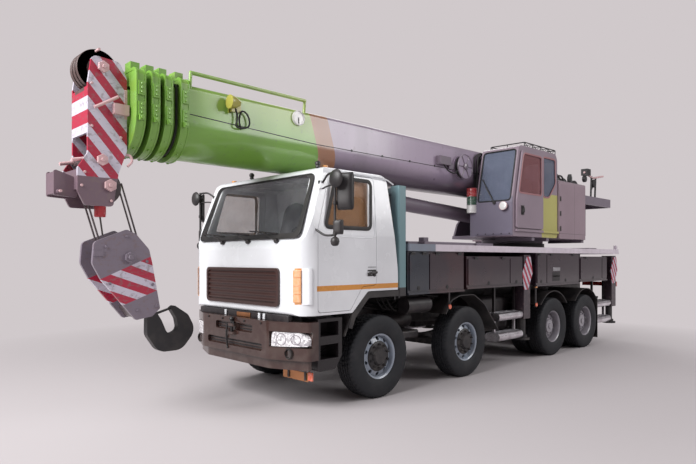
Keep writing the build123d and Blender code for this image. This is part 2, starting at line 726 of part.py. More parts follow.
def rear_wheel(x):
    """Twin wheels on the left: two tyres, two rims and a hub bored for the axle's spindle."""
    outer = TYRE_OUT - TYRE_W / 2
    inner = outer - TWIN_PITCH
    middle = (outer + inner) / 2
    rim = turned([(inner - 118, 276), (inner - 118, 288), (outer + 118, 288), (outer + 118, 276),
                  (middle + 24, 276),
                  (middle + 24, 115), (outer + 130, 115), (outer + 130, 0), (outer + 60, 0),
                  (outer + 60, 61),
                  (middle - 160, 61), (middle - 160, 130), (middle - 24, 130), (middle - 24, 276)], x,
                  TYRE_R)
    for hole in hand_holes(x, middle - 60, middle + 60, 205, 26, 6):
        rim -= hole
    return joined([tyre(x, outer), tyre(x, inner), rim])


def knuckle(x):
    """Left steering knuckle: fork over the beam's end, kingpin, spindle and steering arm."""
    top = block(x - 55, x + 55, KINGPIN_Y - 60, KINGPIN_Y + 75, 598, 650)
    low = block(x - 55, x + 55, KINGPIN_Y - 60, KINGPIN_Y + 75, 430, 482)
    web = block(x - 55, x + 55, KINGPIN_Y + 62, KINGPIN_Y + 110, 430, 650)
    pin = rod((x, KINGPIN_Y, 420), (x, KINGPIN_Y, 660), KINGPIN_R)
    spindle = pin_y(x, TYRE_R, 44.5, KINGPIN_Y + 100, TYRE_OUT - TYRE_W / 2 + 120)
    arm = along_z([(x - 50, KINGPIN_Y - 55), (x + 20, KINGPIN_Y - 55), (x - 60, KINGPIN_Y - 90),
                   (x - 200, KINGPIN_Y - 110),
                   (x - 200, KINGPIN_Y - 70)], 440, 470)
    return joined([top, low, web, pin, spindle, arm])


for name, x, steered in AXLES:
    number = name[-1]
    wheel = front_wheel(x) if steered else rear_wheel(x)
    nodes["wheel_" + number + "_left"] = wheel
    nodes["wheel_" + number + "_right"] = mirrored(wheel)
    if steered:
        nodes["knuckle_" + number + "_left"] = knuckle(x)
        nodes["knuckle_" + number + "_right"] = mirrored(knuckle(x))


# ---------------------------------------------------------------- outriggers
def outrigger_beam(x, side):
    """Sliding beam with the jack's square column on its end and the striped guard plate outside."""
    y_in, y_out = sorted((side * (JACK_Y - 110), -side * 980))
    beam = block(x - BEAM_W / 2, x + BEAM_W / 2, y_in, y_out, BEAM_LOW, BEAM_TOP)
    y0, y1 = sorted((side * (JACK_Y - 110), side * (JACK_Y + 110)))
    column = block(x - 110, x + 110, y0, y1, 760, 1880)
    bore = rod((x, side * JACK_Y, 700), (x, side * JACK_Y, 1860), JACK_ROD_R + RUNNING)
    p0, p1 = sorted((side * (JACK_Y + 110), side * (JACK_Y + 122)))
    plate = along_y([(x - 180, 1560), (x - 110, 1850), (x + 20, 1850), (x + 180, 1560), (x + 110, 1270),
                     (x - 20, 1270)],
                    p0, p1, 20)
    return joined([beam, column, plate]) - bore


def jack(x, side):
    """Jack rod with its round foot."""
    y = side * JACK_Y
    shank = rod((x, y, 440), (x, y, 1600), JACK_ROD_R)
    foot = rod((x, y, 385), (x, y, 420), 138)
    neck = rod((x, y, 415), (x, y, 470), 95)
    return joined([shank, foot, neck])


for name, x, side in OUTRIGGERS:
    nodes["outrigger_" + name] = outrigger_beam(x, side)
    nodes["jack_" + name] = jack(x, side)


# ---------------------------------------------------------------- superstructure
PLATE_IN = 420.0               # inner face of the boom's side plates on the platform
PLATE_OUT = 460.0
# x, side and outer end of each bracket under the operator's cab and the housings
BRACKETS = [
    (-2000.0, 1, 1180.0),
    (-2550.0, 1, 1180.0),
    (-4050.0, 1, 1180.0),
    (-3450.0, -1, 960.0),
    (-4050.0, -1, 960.0),
]


def slew_platform():
    """Turntable, floor, the two side plates that carry the boom, the cylinder's lugs and the tail ledge."""
    disc = Pos(SLEW_X, 0, (RING_TOP + 6 + PLATFORM_LOW) / 2) * Cylinder(RING_R - 30,
                                                                        PLATFORM_LOW - RING_TOP - 6)
    floor = along_z([(-1800, -462), (-1800, 462), (-4520, 462), (-4520, -462)], PLATFORM_LOW, 2260, 40)
    side = [(-1850, 2250), (-1960, 2500), (-2250, 2760), (-3300, 3000), (-4020, 3610), (-4100, 3640),
            (-4400, 3640),
            (-4460, 3560), (-4400, 2960), (-4520, 2250)]
    plate = along_y(side, PLATE_IN, PLATE_OUT, [5, 60, 120, 200, 120, 60, 60, 60, 60, 5])
    x, z = RAM_FOOT
    lug = along_y([(x - 220, 2255), (x - 130, z), (x - 90, z + 130), (x + 90, z + 130), (x + 130, z),
                   (x + 220, 2255)],
                  115, 155, [0, 60, 60, 60, 60, 0])
    pieces = [disc, floor, plate, mirrored(plate), lug, mirrored(lug)]
    pieces.append(pin_y(x, z, RAM_PIN_R, -165, 165))
    pieces.append(pin_y(BOOM_PIVOT[0], BOOM_PIVOT[1], BOOM_PIN_R, -480, 480))
    pieces.append(block(-4500, -4420, -PLATE_IN, PLATE_IN, 2250, 2950))
    ledge = along_z([(-4400, -1080), (-4400, 1080), (-5800, 1080), (-5800, -1080)], 2970, 3150,
                    [5, 5, 80, 80])
    ledge -= block(-5760, -4520, -1040, 1040, 2969, 3120)
    ribs = [block(-5770, -4410, y - 12, y + 12, 2972, 3125) for y in (-PLATE_OUT + 20, PLATE_OUT - 20)]
    pieces += [ledge] + ribs
    pieces.append(block(-4520, -4420, -PLATE_OUT, PLATE_OUT, 2930, 3000))
    for x, side, reach in BRACKETS:
        y0, y1 = sorted((side * (PLATE_OUT - 5), side * reach))
        pieces.append(block(x - 50, x + 50, y0, y1, 2140, PLATFORM_LOW))
    return joined(pieces)


nodes["slew_platform"] = slew_platform()


def counterweight():
    """Cast block hung under the tail ledge."""
    return along_x([(-680, 2330), (-620, 2270), (620, 2270), (680, 2330), (680, 2969), (-680, 2969)], -5350,
                   -4525, 40)


nodes["counterweight"] = counterweight()


def machine_housing():
    """Covered pump and valve housing on the left, hydraulic tank on the right."""
    left = along_z([(-2915, 500), (-2915, 1238), (-4180, 1238), (-4180, 500)], PLATFORM_LOW, 3330,
                   [15, 25, 160, 15])
    left &= along_x([(490, 2190), (1237, 2190), (1237, 3329), (490, 3329)], -4200, -2880, [0, 0, 80, 0])
    hinges = [block(-2975, -2930, 1236, 1246, z - 45, z + 45) for z in (2390.0, 2680.0, 2960.0)]
    right = along_z([(-3300, -480), (-3300, -1000), (-4180, -1000), (-4180, -480)], PLATFORM_LOW, 2900,
                    [15, 60, 160, 15])
    cap = rod((-3600, -740, 2900), (-3600, -740, 2950), 60)
    return joined([left, right, cap] + hinges)


nodes["machine_housing"] = machine_housing()


def winches():
    """Two rope drums on brackets on the tail ledge."""
    pieces = []
    for x in (-5000.0, -5560.0):
        z = 3405.0
        drum = turned([(-330, 0), (-330, 240), (-312, 240), (-312, 150), (312, 150), (312, 240), (330, 240),
                       (330, 0)],
                      x, z)
        pieces.append(drum)
        for side in (1, -1):
            y0, y1 = sorted((side * 329, side * 365))
            pieces.append(along_y([(x - 200, 3150), (x + 200, 3150), (x + 90, z + 90), (x - 90, z + 90)],
                                  y0, y1, [0, 0, 60, 60]))
        pieces.append(pin_y(x, z, 110, 360, 520))
    return joined(pieces)


nodes["winches"] = winches()

# operator cab: side outline, x and z, with the radius of each corner
OPCAB_SIDE = [
    ((-1235.0, 2205.0), 60.0),
    ((-1235.0, 2790.0), 60.0),
    ((-1460.0, 3760.0), 90.0),
    ((-1540.0, 3800.0), 90.0),
    ((-2830.0, 3800.0), 90.0),
    ((-2895.0, 3690.0), 90.0),
    ((-2895.0, 2205.0), 60.0),
]
OPCAB_IN = 475.0
OPCAB_OUT = 1200.0
OPCAB_WALL = 35.0
OPDOOR_OUT = 1240.0
OPDOOR_SIDE = [(-1335.0, 2350.0), (-1335.0, 2840.0), (-1530.0, 3710.0), (-2270.0, 3710.0), (-2270.0, 2350.0)]
OPDOOR_PANE = [(-1400.0, 2960.0), (-1560.0, 3660.0), (-2210.0, 3660.0), (-2210.0, 2960.0)]
OPSCREEN_HOLE = [(520.0, 2830.0), (1155.0, 2830.0), (1155.0, 3720.0), (520.0, 3720.0)]


def operator_shell():
    """The operator's cab as a hollow shell."""
    points = [row[0] for row in OPCAB_SIDE]
    side = outline(points, [row[1] for row in OPCAB_SIDE])
    outer = carried(Plane.XZ.offset(-OPCAB_OUT), side, OPCAB_OUT - OPCAB_IN)
    inner_face = outline(inset(points, OPCAB_WALL))
    inner = carried(Plane.XZ.offset(OPCAB_WALL - OPCAB_OUT), inner_face,
                    OPCAB_OUT - OPCAB_IN - 2 * OPCAB_WALL)
    return outer - inner


OPDOOR_HOLE = [(-1385, 2400), (-1385, 2860), (-1570, 3660), (-2220, 3660), (-2220, 2400)]
QUARTER_HOLE = [(-2345.0, 2950.0), (-2345.0, 3690.0), (-2810.0, 3690.0), (-2830.0, 3230.0),
                (-2560.0, 2950.0)]
BOOM_SIDE_HOLE = [(-1420, 2900), (-1590, 3680), (-2780, 3680), (-2780, 2900)]
REAR_HOLE = [(540, 3050), (1135, 3050), (1135, 3660), (540, 3660)]
OPCAB_REAR = -2895.0


def operator_cab():
    """The shell with its windows and door opening cut, the door's rail and the low front box beside the boom."""
    body = operator_shell()
    body -= along_x(OPSCREEN_HOLE, -1700, -1200, 50)
    body -= along_y(OPDOOR_HOLE, 1150, 1300, 40)
    body -= along_y(QUARTER_HOLE, 1150, 1300, 50)
    body -= along_y(BOOM_SIDE_HOLE, 400, 520, 50)
    body -= along_x(REAR_HOLE, OPCAB_REAR - 50, OPCAB_REAR + 100, 50)
    rail = block(OPCAB_REAR + 10, -1330, 1199, 1238, 2290, 2330)
    toe = along_z([(-1238, 340), (-1238, 480), (-1760, 480), (-1760, 340)], 2212, 2800, [30, 0, 0, 30])
    return joined([body, rail, toe])


nodes["operator_cab"] = operator_cab()


def operator_glass():
    """Windscreen, inner side pane, quarter pane and rear pane."""
    screen = strip((-1235.0, 2790.0), (-1460.0, 3760.0), 10, 7, 500, 1180) & along_x(OPSCREEN_HOLE, -1700,
                                                                                     -1200, 50)
    inner = along_y(BOOM_SIDE_HOLE, 485, 491, 50)
    quarter = along_y(QUARTER_HOLE, 1182, 1188, 50)
    rear = along_x(REAR_HOLE, OPCAB_REAR + 12, OPCAB_REAR + 18, 50)
    return joined([screen, inner, quarter, rear])


nodes["operator_glass"] = operator_glass()


def operator_door():
    """Sliding side door with its window cut and a handle at the front edge."""
    panel = along_y(OPDOOR_SIDE, OPCAB_OUT + 8, OPDOOR_OUT, [30, 60, 60, 60, 30])
    panel -= along_y(OPDOOR_PANE, OPCAB_OUT, OPDOOR_OUT + 10, 60)
    handle = block(-1395, -1370, OPDOOR_OUT - 2, OPDOOR_OUT + 10, 2700, 2830)
    return panel + handle


nodes["operator_door"] = operator_door()
nodes["operator_door_glass"] = along_y(OPDOOR_PANE, OPCAB_OUT + 20, OPCAB_OUT + 26, 60)


def operator_seat():
    """The operator's seat with its two control consoles."""
    consoles = [block(-2150, -1780, y - 60, y + 60, 2240, 2760) for y in (600.0, 1075.0)]
    base = block(-2180, -1800, 690, 990, 2240, 2450)
    cushion = along_y([(-2250, 2450), (-1760, 2450), (-1760, 2570), (-2250, 2550)], 670, 1005, 40)
    back = along_y([(-2260, 2540), (-2140, 2540), (-2260, 3250), (-2360, 3250)], 680, 995, 40)
    return joined(consoles + [base, cushion, back])


nodes["operator_seat"] = operator_seat()


# ---------------------------------------------------------------- boom
def boom_face(half, top, bend=60.0):
    """U-shaped section: flat top, upright sides and a half-round underside about the boom's axis height."""
    z = BOOM_AXIS_Z
    edges = [
        Line((half, z), (half, top - bend)),
        ThreePointArc((half, top - bend), (half - bend * 0.293, top - bend * 0.293), (half - bend, top)),
        Line((half - bend, top), (-half + bend, top)),
        ThreePointArc((-half + bend, top), (-half + bend * 0.293, top - bend * 0.293), (-half, top - bend)),
        Line((-half, top - bend), (-half, z)),
        ThreePointArc((-half, z), (0, z - half), (half, z)),
    ]
    return make_face(edges)


def boom_tube(half, top, x0, x1):
    """A hollow length of boom."""
    outer = carried(Plane.YZ.offset(x0), boom_face(half, top), x1 - x0)
    inner = carried(Plane.YZ.offset(x0 - 1), boom_face(half - BOOM_WALL, top - BOOM_WALL, 48), x1 - x0 + 2)
    return outer - inner


def collar(half, top, x0, x1):
    """Stiffening collar round a section's mouth, with two lugs on top."""
    outer = carried(Plane.YZ.offset(x0), boom_face(COLLAR_W, COLLAR_TOP, 80), x1 - x0)
    inner = carried(Plane.YZ.offset(x0 - 1), boom_face(half - BOOM_WALL, top - BOOM_WALL, 48), x1 - x0 + 2)
    lugs = [block(x0, x1, side * 200 - 70, side * 200 + 70, COLLAR_TOP - 5, COLLAR_TOP + 90)
            for side in (1, -1)]
    return joined([outer - inner] + lugs)


# name, x of its rear end, x of its front end, length of its collar
SECTIONS = [
    ("boom_base", -4050.0, 4500.0, 100.0),
    ("boom_section_2", -3950.0, 4690.0, 90.0),
    ("boom_section_3", -3880.0, 4840.0, 90.0),
    ("boom_section_4", -3810.0, 5010.0, 100.0),
    ("boom_section_5", -3740.0, 5060.0, 0.0),
]


def section_size(index):
    """Half-width and top of the section, counted from the base."""
    return BOOM_BASE_W - index * BOOM_STEP, BOOM_BASE_TOP - index * BOOM_STEP


def boom_section(index):
    """One section's tube and collar."""
    name, x0, x1, collar_length = SECTIONS[index]
    half, top = section_size(index)
    tube = boom_tube(half, top, x0, x1)
    return tube + collar(half, top, x1 - collar_length, x1) if collar_length else tube


def boom_base():
    """The base section with its foot plates, the cylinder's lugs and the stiffening under them."""
    tube = boom_section(0)
    x, z = BOOM_PIVOT
    foot = along_y([(-3700, 3100), (-3700, 3700), (x + 60, z + 200), (x - 170, z + 130), (x - 170, z - 130),
                    (x + 60, z - 230)], 330, 380, [5, 5, 80, 120, 120, 80])
    foot += pin_y(x, z, 110, 320, 400)
    foot -= pin_y(x, z, BOOM_PIN_R + RUNNING, 300, 410)
    ex, ez = RAM_EYE
    lug = along_y([(ex - 420, 3050), (ex - 60, ez - 130), (ex + 60, ez - 130), (ex + 130, ez - 20),
                   (ex + 140, 3050)],
                  115, 155, [0, 60, 60, 60, 0])
    lug -= carried(Plane.YZ.offset(ex - 900), boom_face(BOOM_BASE_W - BOOM_WALL, BOOM_BASE_TOP - BOOM_WALL,
                                                        48), 1800)
    lug -= pin_y(ex, ez, RAM_PIN_R, 100, 170)
    foot_clear = carried(Plane.YZ.offset(-4060), boom_face(section_size(1)[0] + 8, section_size(1)[1] + 8),
                         4000)
    foot -= foot_clear
    reel = turned([(380, 0), (380, 215), (392, 215), (392, 150), (470, 150), (470, 215), (482, 215),
                   (482, 0)],
                  -900, 3430)
    rail = rod((4370, 380, 3925), (2670, 380, 3925), 22)
    posts = [rod((x_post, 360, 3740), (x_post, 380, 3930), 20) for x_post in (4360.0, 2680.0)]
    return joined([tube, foot, mirrored(foot), lug, mirrored(lug), reel, rail] + posts)


nodes["boom_base"] = boom_base()
for index in (1, 2, 3):
    nodes[SECTIONS[index][0]] = boom_section(index)


HEAD_IN = 202.0                # inner and outer face of the head's side plates
HEAD_OUT = 232.0
HEAD_FRONT = 5440.0
TOP_SHEAVE = (5286.0, 3808.0)
# corners of the head's side plate, x and z, with their radii
HEAD_SIDE = [
    ((5033.0, 2960.0), 60.0),
    ((5033.0, 3740.0), 60.0),
    ((5110.0, 3900.0), 80.0),
    ((5400.0, 3915.0), 60.0),
    ((HEAD_FRONT, 3620.0), 200.0),
    ((HEAD_FRONT, 2900.0), 60.0),
    ((5540.0, 2740.0), 40.0),
    ((5540.0, 2500.0), 60.0),
    ((5470.0, 2360.0), 40.0),
    ((5180.0, 2360.0), 40.0),
    ((5120.0, 2720.0), 120.0),
]


def boom_head():
    """The last section: its tube, the head's side and front plates, its sheaves and the bracket in front."""
    x, z = HEAD_SHEAVE
    tx, tz = TOP_SHEAVE
    half, top = section_size(4)
    side = along_y([row[0] for row in HEAD_SIDE], HEAD_IN, HEAD_OUT, [row[1] for row in HEAD_SIDE])
    pieces = [boom_tube(half, top, SECTIONS[4][1], SECTIONS[4][2]), side, mirrored(side)]
    pieces.append(block(HEAD_FRONT - 28, HEAD_FRONT, -HEAD_IN - 1, HEAD_IN + 1, 3110, 3590))
    pieces.append(block(HEAD_FRONT - 28, HEAD_FRONT, -HEAD_IN - 1, HEAD_IN + 1, 2800, 2860))
    pieces.append(block(5510, 5538, -HEAD_IN - 1, HEAD_IN + 1, 2520, 2725))
    pieces.append(pin_y(x, z, 45, -250, 250))
    for y in (-ROPE_Y, ROPE_Y):
        pieces.append(pin_y(x, z, ROPE_TURN - 18, y - 22, y + 22))
    for y in (-75.0, 0.0, 75.0):
        pieces.append(pin_y(tx, tz, 215, y - 30, y + 30))
    pieces.append(pin_y(tx, tz, 40, -260, 260))
    pieces.append(pin_y(5297, 2839, 40, -260, 260))
    arm = along_y([(5500, 2640), (5500, 2440), (5730, 2452), (5730, 2715)], 95, 122, [5, 20, 20, 20])
    cheek_bar = block(5700, 5729, -96, 96, 2470, 2690)
    pieces += [arm, mirrored(arm), cheek_bar, pin_y(5690, 2490, 22, -180, 180)]
    return joined(pieces)


nodes["boom_section_5"] = boom_head()


# ---------------------------------------------------------------- luffing cylinder
def ram_axis():
    """Unit vector of the cylinder and the distance between its two pins."""
    dx = RAM_EYE[0] - RAM_FOOT[0]
    dz = RAM_EYE[1] - RAM_FOOT[1]
    length = hypot(dx, dz)
    return dx / length, dz / length, length


def on_ram(distance):
    """The point on the cylinder's axis at this distance from its foot pin."""
    ux, uz, length = ram_axis()
    return (RAM_FOOT[0] + ux * distance, 0, RAM_FOOT[1] + uz * distance)


RAM_BORE = 101.0
RAM_ROD = 100.0
RAM_OUT = 128.0
RAM_GLAND = 3080.0
RAM_BOTTOM = 280.0


def luff_barrel():
    """Cylinder barrel with its foot eye and gland."""
    barrel = rod(on_ram(250), on_ram(RAM_GLAND), RAM_OUT) + rod(on_ram(RAM_GLAND - 130), on_ram(RAM_GLAND),
                                                                142)
    barrel += rod(on_ram(60), on_ram(260), 92)
    eye = pin_y(RAM_FOOT[0], RAM_FOOT[1], 118, -100, 100)
    body = joined([barrel, eye]) - rod(on_ram(RAM_BOTTOM), on_ram(RAM_GLAND + 20), RAM_BORE)
    return body - pin_y(RAM_FOOT[0], RAM_FOOT[1], RAM_PIN_R + RUNNING, -120, 120)


def luff_rod():
    """Cylinder rod with the eye that meets the pin under the boom."""
    ux, uz, length = ram_axis()
    eye = pin_y(RAM_EYE[0], RAM_EYE[1], 112, -100, 100)
    body = rod(on_ram(RAM_BOTTOM + 20), on_ram(length - 60), RAM_ROD) + eye
    return body - pin_y(RAM_EYE[0], RAM_EYE[1], RAM_PIN_R, -120, 120)


nodes["luff_barrel"] = luff_barrel()
nodes["luff_rod"] = luff_rod()


# ---------------------------------------------------------------- hook block
BLOCK_TOP = (5070.0, 2050.0)
HOOK_EYE = (4665.0, 1180.0)    # x, z where the hook's shank leaves the block


def block_point(along, across):
    """(x, z) of a point given along the block's axis downwards from its top, and across it towards +X."""
    length = hypot(HOOK_EYE[0] - BLOCK_TOP[0], HOOK_EYE[1] - BLOCK_TOP[1])
    ax = (HOOK_EYE[0] - BLOCK_TOP[0]) / length
    az = (HOOK_EYE[1] - BLOCK_TOP[1]) / length
    return (BLOCK_TOP[0] + ax * along - az * across, BLOCK_TOP[1] + az * along + ax * across)


# along and across the block's axis: corners of a cheek plate with their radii
CHEEK = [
    ((-66.0, 290.0), 60.0),
    ((-46.0, -85.0), 30.0),
    ((40.0, -157.0), 40.0),
    ((250.0, -221.0), 80.0),
    ((400.0, -191.0), 60.0),
    ((905.0, -59.0), 20.0),
    ((942.0, 60.0), 20.0),
    ((890.0, 242.0), 30.0),
    ((325.0, 392.0), 80.0),
    ((130.0, 402.0), 90.0),
]
CHEEK_IN = 150.0
CHEEK_OUT = 190.0
BLOCK_SHEAVE = (240.0, 20.0)   # along, across
SHANK_R = 42.0


def hook_block():
    """Two cheek plates with sheaves between them, a cross head below and the rope's falls above."""
    cheek = along_y([block_point(*row[0]) for row in CHEEK], CHEEK_IN, CHEEK_OUT, [row[1] for row in CHEEK])
    sx, sz = block_point(*BLOCK_SHEAVE)
    head = [block_point(a, c) for a, c in ((740, -85), (740, 235), (880, 215), (925, 60), (895, -50))]
    pieces = [cheek, mirrored(cheek), pin_y(sx, sz, 50, -210, 210),
              along_y(head, -CHEEK_IN - 1, CHEEK_IN + 1, 15)]
    hx, hz = HEAD_SHEAVE
    span = hypot(hx - sx, hz - sz)
    across = (hz - sz) / span * ROPE_TURN
    down = (hx - sx) / span * ROPE_TURN
    for y in (-ROPE_Y, ROPE_Y):
        pieces.append(pin_y(sx, sz, ROPE_TURN + 5, y - 24, y + 24))
        for side in (1, -1):
            ax, az = side * across, -side * down
            pieces.append(rod((sx + ax, y, sz + az), (hx + ax, y, hz + az), ROPE_R))
    end = block_point(960, 0)
    start = block_point(700, 0)
    return joined(pieces) - rod((start[0], 0, start[1]), (end[0], 0, end[1]), SHANK_R + RUNNING)


nodes["hook_block"] = hook_block()


# along and across the block's axis: the hook's outline from its shank round the back to the tip and inside again
HOOK_SIDE = [
    ((956.0, 55.0), 10.0),
    ((1150.0, 150.0), 120.0),
    ((1400.0, 110.0), 160.0),
    ((1520.0, -150.0), 180.0),
    ((1400.0, -410.0), 160.0),
    ((1180.0, -400.0), 120.0),
    ((1000.0, -290.0), 20.0),
    ((1010.0, -232.0), 15.0),
    ((1150.0, -250.0), 80.0),
    ((1290.0, -215.0), 70.0),
    ((1275.0, -70.0), 70.0),
    ((1080.0, -75.0), 60.0),
    ((956.0, -60.0), 10.0),
]
HOOK_HALF = 45.0


def hook():
    """Forged hook: shank in the cross head, round throat open upwards at the front, and the safety latch."""
    start = block_point(780, 0)
    end = block_point(1010, 0)
    shank = rod((start[0], 0, start[1]), (end[0], 0, end[1]), SHANK_R)
    side = outline([block_point(*row[0]) for row in HOOK_SIDE], [row[1] for row in HOOK_SIDE])
    body = carried(Plane.XZ.offset(-HOOK_HALF), side, 2 * HOOK_HALF)
    latch_points = [block_point(a, c) for a, c in ((975, -45), (1010, -262), (1030, -262), (1000, -45))]
    return joined([shank, body, along_y(latch_points, -14, 14)])


nodes["hook"] = hook()

# ---------------------------------------------------------------- files
os.makedirs("parts", exist_ok=True)
for node, shape in nodes.items():
    shape.label = node
    export_step(shape, os.path.join("parts", node + ".step"))
print(len(nodes), "nodes")
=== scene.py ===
"""The look of the mobile crane: finishes for the CAD nodes, the finer pieces that ride on them, light and
camera.

Everything is in metres in the crane's own frame: +X forward, +Y to its left, +Z up, the ground at z = 0.
"""
import math

import bmesh
import bpy
import numpy as np
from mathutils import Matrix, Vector


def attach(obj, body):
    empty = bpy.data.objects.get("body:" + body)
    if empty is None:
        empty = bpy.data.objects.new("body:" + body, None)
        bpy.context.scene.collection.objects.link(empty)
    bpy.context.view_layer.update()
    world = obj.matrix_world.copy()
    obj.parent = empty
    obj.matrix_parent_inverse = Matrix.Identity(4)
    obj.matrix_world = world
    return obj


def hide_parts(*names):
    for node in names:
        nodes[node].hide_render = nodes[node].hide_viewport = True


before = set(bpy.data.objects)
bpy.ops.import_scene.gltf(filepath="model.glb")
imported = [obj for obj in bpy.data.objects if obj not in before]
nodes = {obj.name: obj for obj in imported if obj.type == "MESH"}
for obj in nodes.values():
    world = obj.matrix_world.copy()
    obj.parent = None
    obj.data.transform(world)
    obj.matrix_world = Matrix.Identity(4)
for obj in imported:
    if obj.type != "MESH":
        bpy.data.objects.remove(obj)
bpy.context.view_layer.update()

# ---------------------------------------------------------------- driving sizes
AXLES = {"1": 2.10, "2": 0.15, "3": -2.70, "4": -4.10}   # where each axle stands along x
STEERED = ("1", "2")
TYRE_R = 0.54
TYRE_W = 0.315
TYRE_OUT = 1.24                  # outer face of the outer tyre
TWIN_PITCH = 0.35
BOOM_AXIS = 3.36
SIDES = (("left", 1), ("right", -1))


# ---------------------------------------------------------------- shapes as arrays
def grid(points, close_u=False, close_v=False):
    """Points (nu, nv, 3) joined to quads; a closed direction joins its last row to its first."""
    nu, nv = points.shape[:2]
    index = np.arange(nu * nv).reshape(nu, nv)
    if close_u:
        index = np.vstack([index, index[:1]])
    if close_v:
        index = np.hstack([index, index[:, :1]])
    quads = np.stack([index[:-1, :-1], index[1:, :-1], index[1:, 1:], index[:-1, 1:]], -1).reshape(-1, 4)
    return points.reshape(-1, 3), quads.tolist()


def merged(*shapes):
    """Several (points, faces) as one."""
    points, faces, start = [], [], 0
    for p, f in shapes:
        points.append(np.asarray(p, float).reshape(-1, 3))
        faces.extend([[i + start for i in face] for face in f])
        start += len(points[-1])
    return np.vstack(points), faces


def flipped(shape):
    """The shape on the crane's other side: y changes sign and each face turns over."""
    points, faces = shape
    return points * (1, -1, 1), [face[::-1] for face in faces]


def both(shape):
    """The shape and its like on the other side."""
    return merged(shape, flipped(shape))


def along(axis, a, b, c):
    """Points from a (along the axis), b and c (across it, in the order that keeps the frame
    right-handed)."""
    order = {"x": (a, b, c), "y": (c, a, b), "z": (b, c, a)}[axis]
    return np.stack(np.broadcast_arrays(*order), -1)


def turned(axis, centre, profile, steps=32, start=0.0, sweep=360.0):
    """The (along, radius) profile turned about an axis through centre. A closed turn has no seam."""
    profile = np.asarray(profile, float)
    whole = sweep == 360.0
    angle = np.radians(start + np.linspace(0, sweep, steps + (not whole), endpoint=not whole))
    a, r = profile[:, 0], profile[:, 1]
    rows = along(axis, a[None, :], r[None, :] * np.cos(angle)[:, None], r[None, :] * np.sin(angle)[:, None])
    points, faces = grid(rows[:, ::-1], close_u=whole)
    return points + np.asarray(centre, float), faces


def disc(axis, centre, radius, low, high, steps=24, edge=0.0):
    """A closed round plate or pin from low to high along the axis, its rim eased by edge."""
    e = min(edge, radius * 0.5, abs(high - low) * 0.5)
    rim = [(low, 0), (low, radius - e), (low + e, radius), (high - e, radius), (high, radius - e),
           (high, 0)]
    if not e:
        rim = [(low, 0), (low, radius), (high, radius), (high, 0)]
    return turned(axis, centre, rim, steps)


def tube(path, radius, sides=10, closed=False):
    """A round section carried along a path: at each point it stands across the path's direction."""
    path = np.asarray(path, float)
    if closed:
        forward = np.roll(path, -1, 0) - np.roll(path, 1, 0)
    else:
        forward = np.gradient(path, axis=0)
    forward /= np.linalg.norm(forward, axis=1)[:, None]
    span = path.max(0) - path.min(0)
    spare = np.eye(3)[int(np.argmin(span))]
    across = np.cross(forward, spare)
    length = np.linalg.norm(across, axis=1)[:, None]
    across = np.where(length > 1e-6, across / np.maximum(length, 1e-6), np.array([0.0, 0.0, 1.0]))
    other = np.cross(forward, across)
    angle = np.linspace(0, 2 * np.pi, sides, endpoint=False)
    ring = across[:, None] * np.cos(angle)[:, None] + other[:, None] * np.sin(angle)[:, None]
    points, faces = grid((path[:, None] + radius * ring)[:, ::-1], close_u=closed, close_v=True)
    if not closed:
        faces = faces + [list(range(sides)), list(range(len(points) - sides, len(points)))[::-1]]
    return points, faces


def rounded(corners, radius, steps=5):
    """A path through corners with each inner corner turned as a curve: a quadratic from side to side."""
    corners = np.asarray(corners, float)
    before, here, after = corners[:-2], corners[1:-1], corners[2:]
    back, on = before - here, after - here
    reach_back = np.minimum(radius, np.linalg.norm(back, axis=1) / 2)[:, None]
    reach_on = np.minimum(radius, np.linalg.norm(on, axis=1) / 2)[:, None]
    a = here + back / np.linalg.norm(back, axis=1)[:, None] * reach_back
    b = here + on / np.linalg.norm(on, axis=1)[:, None] * reach_on
    t = np.linspace(0, 1, steps)[None, :, None]
    bends = (1 - t) ** 2 * a[:, None] + 2 * t * (1 - t) * here[:, None] + t ** 2 * b[:, None]
    return np.vstack([corners[:1], bends.reshape(-1, 3), corners[-1:]])


def ends(count, total):
    """The two flat faces that close a shape whose first and last rings have count points each."""
    return [list(range(count))[::-1], list(range(total - count, total))]


def prism(outline, low, high):
    """A flat (x, z) outline carried along y from low to high and closed."""
    flat = np.asarray(outline, float)
    rows = np.stack(np.broadcast_arrays(flat[None, :, 0], np.array([[low], [high]]), flat[None, :, 1]), -1)
    points, faces = grid(rows, close_v=True)
    return points, faces + ends(len(flat), len(points))


CUBE = np.array([(i, j, k) for i in (0, 1) for j in (0, 1) for k in (0, 1)], float)
CUBE_FACES = np.array([(0, 1, 3, 2), (4, 6, 7, 5), (0, 4, 5, 1), (2, 3, 7, 6), (0, 2, 6, 4), (1, 5, 7, 3)])


def boxes(rows):
    """Plain blocks from rows of x0, x1, y0, y1, z0, z1."""
    rows = np.asarray(rows, float).reshape(-1, 6)
    low, high = rows[:, ::2], rows[:, 1::2]
    points = low[:, None] + CUBE * (high - low)[:, None]
    faces = CUBE_FACES + 8 * np.arange(len(rows))[:, None, None]
    return points.reshape(-1, 3), faces.reshape(-1, 4).tolist()


def studs(axis, centres, radius, height, sides=6):
    """A bolt head at each centre, standing height out along the axis (negative for the other way)."""
    centres = np.asarray(centres, float).reshape(-1, 3)
    low, high = sorted((0.0, height))
    one, faces = disc(axis, (0, 0, 0), radius, low, high, sides, abs(height) * 0.3)
    points = centres[:, None] + one
    shifted = np.array(faces) + len(one) * np.arange(len(centres))[:, None, None]
    return points.reshape(-1, 3), shifted.reshape(-1, 4).tolist()


